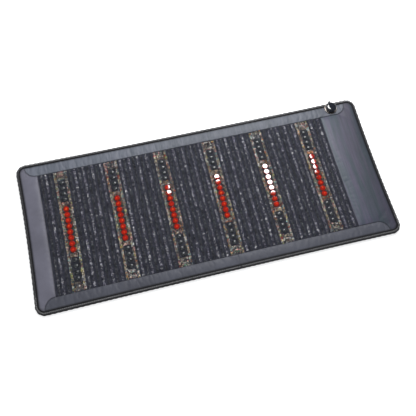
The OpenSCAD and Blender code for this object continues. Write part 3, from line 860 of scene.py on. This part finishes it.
def long_seam_path(offset, x_from, x_to, step, side):
    """Places and directions along the long border's inner seam, moved on to the border by offset."""
    r = ARC_R - offset
    quarter = r * math.pi / 2
    straight = ARC_X1 - ARC_X0
    places, directions = [], []
    for s in np.arange(step / 2, 2 * quarter + straight, step):
        if s < quarter:
            a = math.pi + s / r
            x, y, dx, dy = ARC_X0 + r * math.cos(a), ARC_Y + r * math.sin(a), -math.sin(a), math.cos(a)
        elif s < quarter + straight:
            x, y, dx, dy = ARC_X0 + s - quarter, PANEL_Y + offset, 1.0, 0.0
        else:
            a = 1.5 * math.pi + (s - quarter - straight) / r
            x, y, dx, dy = ARC_X1 + r * math.cos(a), ARC_Y + r * math.sin(a), -math.sin(a), math.cos(a)
        if x_from <= x <= x_to and edge_distance(x, y) > BINDING_W + 1 * MM:
            places.append((x, y * side))
            directions.append((dx, dy * side))
    return places, directions


def border_stitches(side, surfaces):
    """Seam stitches of a long border: one line beside the panel and a second one round the arcs."""
    name = "rear" if side > 0 else "front"
    runs = {"foot": [(SEAM_OFFSET, -HALF_L, SPLIT_X), (10.4 * MM, -HALF_L, PANEL_X0)],
            "head": [(SEAM_OFFSET, SPLIT_X, HALF_L), (11.5 * MM, PANEL_X1, HALF_L)]}
    for half, lines in runs.items():
        places, directions = [], []
        for offset, x_from, x_to in lines:
            more_places, more_directions = long_seam_path(offset, x_from, x_to, SEAM_PITCH, side)
            places += more_places
            directions += more_directions
        full_name = f"{name}_border_stitches_{half}_half"
        piece = sewn(full_name, surfaces, places, directions, SEAM_STITCH, THREAD)
        across_fold(piece)


def end_stitches(end, surfaces):
    """Seam stitches of an end border, beside the panel."""
    x = PANEL_X0 - SEAM_OFFSET if end == "foot" else PANEL_X1 + SEAM_OFFSET
    places = [(x, y) for y in np.arange(-PANEL_Y + 6 * MM, PANEL_Y - 5 * MM, SEAM_PITCH)]
    directions = [(0, 1)] * len(places)
    name = f"{end}_end_border_stitches"
    piece = sewn(name, surfaces, places, directions, SEAM_STITCH, THREAD)
    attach(piece, end)


def binding_stitches(half, binding):
    """Slanted overcast stitches along the top of the binding."""
    points, outward = rim_path(half, PUCKER_PITCH)
    tangent = np.stack([-outward[:, 1], outward[:, 0]], axis=1)
    lean, inward = 0.55, 8.5 * MM
    lean *= 1 if half == "head" else -1
    places = points - outward * inward
    clear = from_connector(places[:, 0], places[:, 1]) > HELD_R
    clear &= np.abs(places[:, 0] - SPLIT_X) > 2 * MM
    directions = tangent + lean * outward
    name = f"binding_stitches_{half}_half"
    piece = sewn(name, [binding], places[clear], directions[clear], BINDING_STITCH, BINDING_THREAD)
    across_fold(piece)


# ---- Stone panel ----

def boxes_of(part):
    """Corners of the solids of a part, over all sections."""
    return [box for section in SECTIONS for box in solids(f"{section}_{part}")]


DARK_RIBS = boxes_of("tourmaline_ribs")
LIGHT_RIBS = boxes_of("amethyst_ribs")
CHIP_ROWS = boxes_of("mixed_chip_rows")
LONG_ROW = 0.6
FLANK_ROWS = [box for box in CHIP_ROWS if box[1][1] - box[0][1] > LONG_ROW]
CRYSTALS = {section: solids(f"{section}_photon_crystals") for section in SECTIONS}
OBSIDIAN = {section: solids(f"{section}_obsidian_stones") for section in SECTIONS}


def ridge_height(x, y):
    """Height of the net over its flat places: a tube over each rib and a low one under each row of chips."""
    height = np.zeros_like(x)
    kinds = ((DARK_RIBS, 2.8 * MM, 0.9), (LIGHT_RIBS, 3.2 * MM, 0.9), (FLANK_ROWS, 2.4 * MM, 1.3))
    for ribs, rise, spread in kinds:
        for box_low, box_high in ribs:
            centre = (box_low[0] + box_high[0]) / 2
            half = (box_high[0] - box_low[0]) / 2 * spread
            inside = 1 - ((x - centre) / half) ** 2
            ends = smooth_step((box_high[1] - np.abs(y)) / (5 * MM))
            height = np.maximum(height, rise * np.sqrt(np.clip(inside, 0, 1)) * ends)
    return height


def net_height(x, y):
    lumpy = 1 + 0.12 * wobble(x, y, 7 * MM, 3) + 0.08 * wobble(x, y, 19 * MM, 4)
    return CLOTH_Z1 + ridge_height(x, y) * lumpy


def panel_cloth():
    """Net cloth of the stone panel, sewn into a tube over each rib."""
    xs = even_run(CLOTH_X0, CLOTH_X1, 3.4 * MM)
    x, y = np.meshgrid(xs, np.linspace(-CLOTH_Y, CLOTH_Y, 121), indexing="ij")
    top = np.stack([x, y, net_height(x, y)], axis=-1)
    underside = np.stack([x, y, np.full_like(x, CLOTH_Z0)], axis=-1)
    sheet_halves("stone_panel", "panel_mesh", top, underside, NET)


# ---- Stones ----

def chip_shapes(rng, count):
    """Small convex lumps with flat facets, each as (points, [triangles])."""
    shapes = []
    for _ in range(count):
        points = rng.normal(size=(rng.integers(7, 10), 3))
        points /= np.linalg.norm(points, axis=1, keepdims=True)
        points *= rng.uniform(0.85, 1.15, (len(points), 1)) * np.array((1.0, 0.85, 0.7))
        bm = bmesh.new()
        for point in points:
            bm.verts.new(point)
        hull = bmesh.ops.convex_hull(bm, input=bm.verts)
        loose = set(hull["geom_interior"]) | set(hull["geom_unused"])
        loose = [item for item in loose if isinstance(item, bmesh.types.BMVert)]
        bmesh.ops.delete(bm, geom=loose, context="VERTS")
        bmesh.ops.triangulate(bm, faces=bm.faces)
        bmesh.ops.recalc_face_normals(bm, faces=bm.faces)
        bm.verts.index_update()
        verts = np.array([v.co for v in bm.verts])
        faces = np.array([[v.index for v in face.verts] for face in bm.faces])
        bm.free()
        shapes.append((verts, [faces]))
    return shapes


def strewn(rng, x0, x1, y0, y1, pitch):
    """Plan places of chips that fill a rectangle, in loose staggered lanes."""
    lanes = max(1, round((x1 - x0) / pitch))
    count = max(1, round((y1 - y0) / pitch))
    lane, number = np.meshgrid(np.arange(lanes), np.arange(count), indexing="ij")
    x = x0 + (x1 - x0) * (lane.ravel() + 0.5) / lanes
    y = y0 + (y1 - y0) * (number.ravel() + 0.25 + 0.5 * (lane.ravel() % 2)) / count
    x = x + rng.uniform(-0.28, 0.28, x.shape) * pitch
    y = y + rng.uniform(-0.28, 0.28, y.shape) * pitch
    return np.stack([x, np.clip(y, y0, y1)], axis=1)


def turned(rng, count, upright):
    """Random rotation matrices. upright from 0 to 1 keeps the flat sides of chips more level."""
    q = rng.normal(size=(count, 4))
    q[:, 1:3] *= 1 - upright
    q /= np.linalg.norm(q, axis=1, keepdims=True)
    w, x, y, z = q.T
    rows = [[1 - 2 * (y * y + z * z), 2 * (x * y - z * w), 2 * (x * z + y * w)],
            [2 * (x * y + z * w), 1 - 2 * (x * x + z * z), 2 * (y * z - x * w)],
            [2 * (x * z - y * w), 2 * (y * z + x * w), 1 - 2 * (x * x + y * y)]]
    return np.moveaxis(np.array(rows), 2, 0)


# Length of a rib over which its chips tend to have one colour
CLUMP = 8 * MM


class Chips:
    """Collects chips for one piece in each half of the mat."""

    def __init__(self, rng, name, part, slot, material):
        self.rng, self.name, self.part, self.slot, self.material = rng, name, part, slot, material
        self.places, self.sizes, self.colours = [], [], []

    def lay(self, plan, lift, size, colours, weights):
        """Lays chips on the net at plan places, their middles lifted by lift."""
        count = len(plan)
        height = net_height(plan[:, 0], plan[:, 1]) + lift + self.rng.uniform(-0.25, 0.25, count) * size
        self.places.append(np.column_stack([plan, height]))
        self.sizes.append(size * self.rng.uniform(0.72, 1.25, count))
        stretch = (plan[:, 1] // CLUMP).astype(int)
        stretch -= stretch.min()
        common = self.rng.choice(len(colours), stretch.max() + 1, p=weights)[stretch]
        own = self.rng.choice(len(colours), count, p=weights)
        picked = np.where(self.rng.random(count) < 0.5, common, own)
        fine, wide = (wobble(*plan.T, length, 21) for length in (8.5 * MM, 27 * MM))
        clump = np.exp(1.05 * fine + 0.15 * wide)
        shade_of_each = (self.rng.uniform(0.6, 1.3, count) * clump)[:, None]
        self.colours.append(np.minimum(np.array(colours)[picked] * shade_of_each, 0.95))

    def fill_ribs(self, boxes, lift, size, colours, weights):
        """Lays chips in lanes along the middle of each rib."""
        half_width, pitch = 5.5 * MM, 4 * MM
        for box_low, box_high in boxes:
            centre = (box_low[0] + box_high[0]) / 2
            ends = (centre - half_width, centre + half_width, box_low[1], box_high[1])
            self.lay(strewn(self.rng, *ends, pitch), lift, size, colours, weights)

    def finish(self, upright):
        places, sizes = np.concatenate(self.places), np.concatenate(self.sizes)
        colours = np.concatenate(self.colours)
        matrices = turned(self.rng, len(places), upright) * sizes[:, None, None]
        which = self.rng.integers(len(CHIP_SHAPES), size=len(places))
        for half in ("foot", "head"):
            here = (places[:, 0] < SPLIT_X) == (half == "foot")
            parts, tints = [], []
            for number, shape in enumerate(CHIP_SHAPES):
                chosen = here & (which == number)
                parts.append(copies(shape, matrices[chosen], places[chosen]))
                tints.append(np.repeat(colours[chosen], len(shape[0]), axis=0))
            points, faces = joined(parts)
            tint = np.column_stack([np.concatenate(tints), np.ones(len(points))])
            name = f"{self.name}_{half}_half"
            piece = new_piece(name, points, faces, self.material, smooth=False, closed=False, tint=tint)
            stands_for(piece, half, self.part)


def dark_ribs(rng):
    """Tourmaline chips in every second tube of the net and round the black stones."""
    chips = Chips(rng, "tourmaline_chips", "tourmaline_ribs", "tourmaline", TOURMALINE)
    blacks = [(0.03, 0.031, 0.037), (0.065, 0.067, 0.078), (0.11, 0.11, 0.125), (0.05, 0.062, 0.06),
              (0.26, 0.26, 0.28)]
    chips.fill_ribs(DARK_RIBS, 0.5 * MM, 2.9 * MM, blacks, (0.36, 0.34, 0.16, 0.11, 0.03))
    for section in SECTIONS:
        for box_low, box_high in OBSIDIAN[section]:
            y0, y1 = box_low[1] - 2 * MM, box_high[1] + 2 * MM
            for x in (box_low[0] - 3 * MM, box_high[0] + 3 * MM):
                plan = strewn(rng, x - 4 * MM, x + 4 * MM, y0, y1, 4.4 * MM)
                chips.lay(plan, 0.8 * MM, 2.6 * MM, blacks, (0.5, 0.3, 0.1, 0.08, 0.02))
    chips.finish(0.35)


def light_ribs(rng):
    """Amethyst chips in the other tubes."""
    chips = Chips(rng, "amethyst_chips", "amethyst_ribs", "amethyst", AMETHYST)
    lilacs = [(0.17, 0.16, 0.21), (0.30, 0.30, 0.34), (0.09, 0.085, 0.12), (0.6, 0.6, 0.63),
              (0.035, 0.036, 0.05)]
    chips.fill_ribs(LIGHT_RIBS, 0.6 * MM, 3.0 * MM, lilacs, (0.28, 0.2, 0.22, 0.1, 0.2))
    chips.finish(0.1)


PALETTE = {
    "amber": (0.52, 0.30, 0.08), "orange": (0.62, 0.17, 0.05), "rose": (0.55, 0.26, 0.24),
    "red": (0.42, 0.05, 0.03), "lime": (0.42, 0.44, 0.16), "white": (0.68, 0.67, 0.62),
    "beige": (0.50, 0.42, 0.30), "brown": (0.20, 0.12, 0.07), "green": (0.10, 0.20, 0.13),
    "grey": (0.16, 0.16, 0.17), "black": (0.03, 0.03, 0.032), "teal": (0.24, 0.42, 0.40),
}


def mixed_rows(rng):
    """Rows of mixed chips beside each column and patches of them between its stones."""
    chips = Chips(rng, "mixed_chips", "mixed_chip_rows", "mixed_chips", MIXED)
    flank = {"beige": 0.2, "white": 0.17, "rose": 0.1, "grey": 0.19, "lime": 0.08, "amber": 0.05,
             "orange": 0.03, "red": 0.02, "teal": 0.08, "brown": 0.08}
    inner = {"brown": 0.26, "amber": 0.08, "orange": 0.09, "green": 0.14, "black": 0.36, "lime": 0.07}
    end_patch = {"white": 0.17, "grey": 0.28, "beige": 0.19, "rose": 0.1, "teal": 0.03, "green": 0.04,
                 "black": 0.11, "brown": 0.08}
    # Patches between the red discs: partly the chips' own colours, weighted warm to paint the discs' red
    # light falling on them
    glow_tinted_patch = {"white": 0.14, "beige": 0.2, "rose": 0.14, "orange": 0.12, "amber": 0.1, "grey": 0.16,
                    "brown": 0.14}
    wide, thin = 20 * MM, 7 * MM
    for box_low, box_high in CHIP_ROWS:
        width = box_high[0] - box_low[0]
        span = (box_low[0], box_high[0], box_low[1], box_high[1])
        if width > wide:
            choice, pitch, lift, size = end_patch, 4.4 * MM, 1.6 * MM, 3.0 * MM
            # Patches near the middle lie between the discs and take the mix with their painted red light
            if abs(box_low[1] + box_high[1]) / 2 < PANEL_Y / 2:
                choice = glow_tinted_patch
        elif width < thin:
            choice, pitch, lift, size = inner, 3.8 * MM, 1.0 * MM, 2.6 * MM
        else:
            choice, pitch, lift, size = flank, 4.2 * MM, 0.9 * MM, 3.0 * MM
            span = (box_low[0] - 1.5 * MM, box_high[0] + 1.5 * MM, box_low[1], box_high[1])
        colours = [PALETTE[name] for name in choice]
        weights = np.array(list(choice.values()))
        chips.lay(strewn(rng, *span, pitch), lift, size, colours, weights / weights.sum())
    chips.finish(0.1)


def disc_profile(radius, height):
    """Turned profile of a polished disc: flat foot, rounded rim and a faint crown."""
    foot, shoulder, crown = 3.15 * MM, height - 0.22 * MM, 0.035 * MM
    points = [(0, 0), (radius * 0.94, 0), (radius, foot * 0.25 / 0.7), (radius, foot)]
    for t in np.linspace(0.15, 1, 6):
        a = t * math.pi / 2
        points.append((radius * (0.89 + 0.11 * math.cos(a)), foot + (shoulder - foot) * math.sin(a)))
    points.append((radius * 0.885, height - crown - 0.02 * MM))
    return points + [(radius * t, height - crown * (t / 0.875) ** 2) for t in (0.875, 0.865, 0.65, 0.4, 0)]


def cabochon_profile(radius, height):
    """Turned profile of a domed stone."""
    rim = 1.2 * MM
    points = [(0, 0), (radius * 0.93, 0), (radius, rim)]
    for a in np.radians([8, 20, 33, 46, 59, 71, 81]):
        points.append((radius * math.cos(a), rim + (height - rim) * math.sin(a) ** 0.85))
    return points + [(0, height)]


def stones(name, part, boxes, material, profile, sides, change, ringed=False):
    """Turned stones in the places of a part's solids. change(points, x) gives each its own shape or lean."""
    for section in SECTIONS:
        parts, rings = [], []
        for box_low, box_high in boxes[section]:
            middle = (box_low + box_high) / 2
            radius, height = (box_high[0] - box_low[0]) / 2, box_high[2] - box_low[2]
            points, faces = lathe_shape(profile(radius, height), sides)
            rings.append(np.hypot(points[:, 0], points[:, 1]) / radius)
            foot = np.array((middle[0], middle[1], box_low[2]))
            parts.append((change(points, round(box_low[0], 4)) + foot, faces))
        points, faces = joined(parts)
        values = {"ring": np.concatenate(rings)} if ringed else {}
        piece = new_piece(f"{section}_{name}", points, faces, material, closed=False, **values)
        rides(piece, section, f"{section}_{part}")


# Lean of each column's discs towards the rear, in degrees
COLUMN_LEAN = (0.0, 0.0, -1.35, -1.4, 1.3, 0.0)
COLUMN_X = sorted({round(box_low[0], 4) for section in SECTIONS for box_low, _ in CRYSTALS[section]})


def photon_crystals(rng):
    """Red discs, each tipped a little its own way."""
    def tipped(points, x):
        tip = math.radians(0.35)
        lean = math.radians(COLUMN_LEAN[COLUMN_X.index(x)])
        along = Quaternion((1, 0, 0), rng.uniform(-tip, tip) - lean)
        turn = along @ Quaternion((0, 1, 0), rng.uniform(-tip, tip))
        return points @ np.array(turn.to_matrix()).T

    stones("crystal_discs", "photon_crystals", CRYSTALS, CRYSTAL, disc_profile, 40, tipped,
           ringed=True)


def obsidian_stones(rng):
    """Polished black stones, none quite round."""
    def uneven(points, _):
        angle = np.arctan2(points[:, 1], points[:, 0])
        shape = 1 - 0.03 * (1 + np.cos(2 * angle + rng.uniform(0, 6)))
        return points * np.column_stack([shape, shape, np.ones(len(shape))])

    stones("black_stones", "obsidian_stones", OBSIDIAN, OBSIDIAN_GLASS, cabochon_profile, 32,
           uneven)


# ---- Layers under the panel ----

def bottom_cover():
    """Lower sheet of leather-look cloth, faintly wavy and pulled flat at its rim."""
    step = 9 * MM
    reach = HALF_L - COVER_INSET
    bends = [(FOLD_X[fold] - FOLD_REACH[fold], FOLD_X[fold] + FOLD_REACH[fold]) for fold in FOLD_X]
    stops = sorted([-reach, SPLIT_X, reach] + [x for bend in bends for x in bend])
    xs = [-reach]
    for start, stop in zip(stops[:-1], stops[1:]):
        near = step / 3 if (start, stop) in bends else step
        xs += list(np.linspace(start, stop, math.ceil((stop - start) / near) + 1)[1:])
    xs = np.array(xs)
    width = outline_y(xs, COVER_INSET)
    x, y = grid_of(xs, -width, width, np.linspace(0, 1, 85))
    waves = 0.35 + 0.35 * wobble(x, y, 60 * MM, 11) + 0.3 * wobble(x, y, 23 * MM, 12)
    rim = smooth_step((edge_distance(x, y) - COVER_INSET) / (20 * MM))
    lower = np.stack([x, y, np.clip(waves, 0, 1) * rim * 0.5 * MM], axis=-1)
    upper = np.stack([x, y, np.full_like(x, high("middle_bottom_cover").z)], axis=-1)
    sheet_halves("bottom_cover", "cover_leather", upper, lower, COVER)


def bending_copy(part, half, material):
    """Copy of an inner part's solids in one half of the mat, sliced at its fold so that it can bend."""
    fold = half + "_fold"
    x_fold, reach = FOLD_X[fold], FOLD_REACH[fold]
    bm = bmesh.new()
    for section in (half, "middle"):
        bm.from_mesh(frame["nodes"][f"{section}_{part}"].data)
    bmesh.ops.remove_doubles(bm, verts=bm.verts, dist=1e-6)
    keep_low = half == "foot"

    def cut(x, **options):
        everything = bm.verts[:] + bm.edges[:] + bm.faces[:]
        return bmesh.ops.bisect_plane(bm, geom=everything, plane_co=(x, 0, 0), plane_no=(1, 0, 0), **options)

    made = cut(SPLIT_X, clear_outer=keep_low, clear_inner=not keep_low)
    rim = [item for item in made["geom_cut"] if isinstance(item, bmesh.types.BMEdge)]
    bmesh.ops.edgeloop_fill(bm, edges=rim)
    slices = 36
    for share in np.linspace(-1, 1, slices + 1):
        cut(x_fold + share * reach)
    mesh = bpy.data.meshes.new(part)
    bmesh.ops.triangulate(bm, faces=bm.faces)
    bm.to_mesh(mesh)
    bm.free()
    points = np.empty(len(mesh.vertices) * 3, np.float32)
    mesh.vertices.foreach_get("co", points)
    triangles = np.empty(len(mesh.polygons) * 3, np.int32)
    mesh.polygons.foreach_get("vertices", triangles)
    bpy.data.meshes.remove(mesh)
    points = points.reshape(-1, 3)
    drawn_in(points, LAYER_INSET)
    piece = new_piece(f"{part}_{half}_half", points, [triangles.reshape(-1, 3)], material, smooth=False)
    stands_for(piece, half, part)


# ---- Connector ----

def turned_piece(name, profile, centre, node, material):
    points, faces = lathe_shape(profile, 96)
    piece = new_piece(name, points + np.array(centre), faces, material, rigid=True)
    rides(piece, "head", node)


def arc_points(centre_r, centre_z, radius, start, stop, count):
    angles = np.radians(np.linspace(start, stop, count))
    return [(centre_r + radius * math.cos(a), centre_z + radius * math.sin(a)) for a in angles]


def connector():
    """Turned metal flange and glossy dome."""
    bottom, top = FLANGE_LOW.z, FLANGE_HIGH.z
    dome_low, dome_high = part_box("connector_dome")
    dome_r = (dome_high.x - dome_low.x) / 2
    hole_r, lower_r, upper_r = 6 * MM, 0.6 * MM, 1.4 * MM
    seat_r = dome_r + 0.2 * MM
    seat_z = dome_low.z - 0.2 * MM
    flange = [(0, bottom), (FLANGE_R - lower_r, bottom)]
    flange += arc_points(FLANGE_R - lower_r, bottom + lower_r, lower_r, -90, 0, 5)[1:]
    flange += arc_points(FLANGE_R - upper_r, top - upper_r, upper_r, 0, 90, 7)
    groove = top - 0.5 * MM
    flange += [(dome_r + 3 * MM, top), (dome_r + 2.4 * MM, groove), (dome_r + 1.6 * MM, groove),
               (dome_r + 1.0 * MM, top), (seat_r, top - 0.1 * MM), (seat_r, seat_z), (hole_r, seat_z),
               (0, seat_z)]
    centre = (CONNECTOR_X, CONNECTOR_Y, 0)
    turned_piece("connector_flange_ring", flange, centre, "connector_flange", FLANGE_METAL)
    wall, edge_r = 2 * MM, 11 * MM
    z0, z1 = dome_low.z, dome_high.z
    flat_r = dome_r - edge_r
    inside = [(0, z1 - wall), (flat_r, z1 - wall - 0.6 * MM)]
    inside += arc_points(flat_r, z1 - edge_r - 0.6 * MM, edge_r - wall, 80, 0, 8)
    outside = [(dome_r - wall, z0), (dome_r - 0.4 * MM, z0), (dome_r, z0 + 0.5 * MM),
               (dome_r, z0 + 2.2 * MM), (dome_r - 0.5 * MM, z0 + 2.6 * MM), (dome_r, z0 + 3.0 * MM)]
    outside += arc_points(flat_r, z1 - edge_r - 0.8 * MM, edge_r, 0, 84, 14)
    outside += [(flat_r * 0.75, z1 - 0.35 * MM), (flat_r * 0.35, z1 - 0.08 * MM), (0, z1)]
    turned_piece("connector_dome_shell", inside + outside, centre, "connector_dome", DOME)


def paint_cad_nodes():
    """Materials of the CAD nodes that stay as they are."""
    kinds = {"connector_gasket": ("gasket_rubber", (0.02, 0.02, 0.021), 0.7, 0.0, 0.1),
             "connector_backplate": ("backplate_metal", (0.55, 0.55, 0.57), 0.35, 1.0, 0.03),
             "connector_screws": ("screw_steel", (0.6, 0.6, 0.61), 0.28, 1.0, 0.03),
             "connector_socket": ("socket_plastic", (0.03, 0.03, 0.034), 0.38, 0.0, 0.03),
             "connector_pins": ("pin_brass", (0.78, 0.55, 0.25), 0.25, 1.0, 0.03),
             "wiring_harness": ("cable_rubber", (0.02, 0.02, 0.022), 0.6, 0.0, 0.08),
             "temperature_sensor": ("sensor_ceramic", (0.8, 0.76, 0.62), 0.35, 0.0, 0.03),
             "thermal_fuse": ("fuse_metal", (0.5, 0.5, 0.52), 0.3, 1.0, 0.03),
             "led_strips": ("lamp_board", (0.78, 0.76, 0.68), 0.4, 0.0, 0.03)}
    for part, (name, colour, roughness, metallic, depth) in kinds.items():
        material = moulded(name, colour, roughness, rest_attribute=False, metallic=metallic, depth=depth)
        for node in [key for key in frame["nodes"] if key.endswith(part)]:
            slots = frame["nodes"][node].data.materials
            slots.clear()
            slots.append(material)


# ---- Studio ----

def floor():
    size, z = 14.0, -0.4 * MM
    mesh = bpy.data.meshes.new("floor")
    corners = [(-size, -size, z), (size, -size, z), (size, size, z), (-size, size, z)]
    mesh.from_pydata(corners, [], [(0, 1, 2, 3)])
    paint = Paint("pale_floor", False, Roughness=0.8)
    cloud = paint.noise(1.5, 2)
    seen = paint.add("LightPath").outputs["Is Camera Ray"]
    paint.set(Base_Color=paint.ramp(cloud, [(0.0, (0.90, 0.90, 0.90)), (1.0, (0.93, 0.93, 0.93))]))
    paint.set(Emission_Color=(1, 1, 1, 1), Emission_Strength=paint.range(seen, 0.1, 0.5))
    paint.set(Specular_IOR_Level=0.1)
    mesh.materials.append(paint.material)
    in_scene("floor", mesh)


def area_light(name, place, aim, width, depth, radiance):
    light = bpy.data.lights.new(name, "AREA")
    light.shape = "RECTANGLE"
    light.size, light.size_y = width, depth
    light.energy = radiance * math.pi * width * depth
    holder = in_scene(name, light)
    holder.location = place
    direction = Vector(aim) - Vector(place)
    holder.rotation_mode = "QUATERNION"
    holder.rotation_quaternion = direction.to_track_quat("-Z", "Y")


def studio():
    floor()
    world = bpy.data.worlds.new("studio")
    bpy.context.scene.world = world
    world.use_nodes = True
    tree = world.node_tree
    background = tree.nodes["Background"]
    background.inputs["Color"].default_value = (0.97, 0.98, 1.0, 1)
    # Mirror-like surfaces see a darker room than matt ones, and the camera sees a white one
    seen_by = tree.nodes.new("ShaderNodeLightPath")
    strength = background.inputs["Strength"]
    for ray, change in (("Is Glossy Ray", -0.52), ("Is Camera Ray", 0.5)):
        sum_up = tree.nodes.new("ShaderNodeMath")
        sum_up.operation = "MULTIPLY_ADD"
        tree.links.new(seen_by.outputs[ray], sum_up.inputs[0])
        sum_up.inputs[1].default_value = change
        tree.links.new(sum_up.outputs[0], strength)
        strength = sum_up.inputs[2]
    strength.default_value = 0.6
    area_light("softbox", (0.725, 1.465, 2.5), (0.725, 1.465, 0), 1.57, 1.07, 14.0)
    area_light("fill", (-1.5, -1.3, 2.6), (0, 0, 0), 0.7, 0.7, 5.0)
    bpy.context.scene.view_settings.view_transform = "Standard"


def camera():
    """Camera above the front edge, turned a little to the left and rolled."""
    azimuth, elevation, roll = math.radians(-19.81), math.radians(69.97), math.radians(6.22)
    distance, aim = 2.852, Vector((-0.0107, -0.0524, TOP_Z))
    back = Vector((math.sin(azimuth) * math.cos(elevation), -math.cos(azimuth) * math.cos(elevation),
                   math.sin(elevation)))
    data = bpy.data.cameras.new("camera")
    data.sensor_width, data.lens = 36, 46.64
    holder = in_scene("camera", data)
    holder.location = aim + back * distance
    holder.rotation_mode = "QUATERNION"
    holder.rotation_quaternion = (-back).to_track_quat("-Z", "Y") @ Quaternion((0, 0, 1), roll)
    bpy.context.scene.camera = holder


# ---- Build ----

# One leather in four lit and shaded copies: each border's colour has the light falling on it painted in, and
# the rear and head borders also a painted falloff of light along the mat
LIT_LEATHER = {
    "front": leather("front_leather", (0.070, 0.074, 0.096), 0.46),
    "rear": leather("rear_leather", (0.146, 0.158, 0.196), 0.46, (0.104, 0.118, 0.146), (-0.75, 0.0, 0.76)),
    "foot": leather("foot_leather", (0.135, 0.134, 0.172), 0.46),
    "head": leather("head_leather", (0.080, 0.076, 0.118), 0.44, (0.048, 0.070, 0.088), (0.78, 0.9, 0.66)),
}
COVER = leather("cover_leather", (0.022, 0.022, 0.026), 0.55)
TAPE = tape_cloth()
THREAD = thread("seam_thread", (0.2, 0.2, 0.23))
BINDING_THREAD = thread("binding_thread", (0.46, 0.46, 0.465))
NET = net_cloth()
TOURMALINE = chip_stone("tourmaline", 0.3)
AMETHYST = chip_stone("amethyst", 0.18, 0.4)
MIXED = chip_stone("mixed_chips", 0.25, 0.3)
CRYSTAL = lit_crystal()
OBSIDIAN_GLASS = black_glass()
FLANGE_METAL = moulded("flange_metal", (0.30, 0.27, 0.25), 0.3, metallic=1.0)
DOME = moulded("dome_plastic", (0.012, 0.014, 0.020), 0.05, coat=1.0, depth=0.0)

random_chips = np.random.default_rng(41)
CHIP_SHAPES = chip_shapes(random_chips, 10)

panel_cloth()
dark_ribs(random_chips)
light_ribs(random_chips)
mixed_rows(random_chips)
photon_crystals(random_chips)
obsidian_stones(random_chips)
for side in (1, -1):
    border_stitches(side, long_border(side))
for end in ("foot", "head"):
    end_stitches(end, end_border(end))
for half in ("foot", "head"):
    binding_stitches(half, edge_binding(half))
bottom_cover()
FOAM = fibre("foam", (0.68, 0.66, 0.61), 900, 0.3)
FELT = fibre("felt", (0.27, 0.28, 0.29), 500, 0.5)
FOIL = moulded("shield_foil", (0.75, 0.76, 0.78), 0.28, metallic=1.0, fine=120.0, depth=0.4)
WIRE = moulded("heating_wire", (0.45, 0.07, 0.03), 0.45)
LAYERS = (("foam_pad", FOAM, "foam"), ("insulation_felt", FELT, "felt"),
          ("shielding_foil", FOIL, "shield_foil"), ("heating_wire", WIRE, "heating_wire"))
for half in ("foot", "head"):
    for part, material, slot in LAYERS:
        bending_copy(part, half, material)
connector()
paint_cad_nodes()
studio()
camera()

bpy.context.view_layer.update()
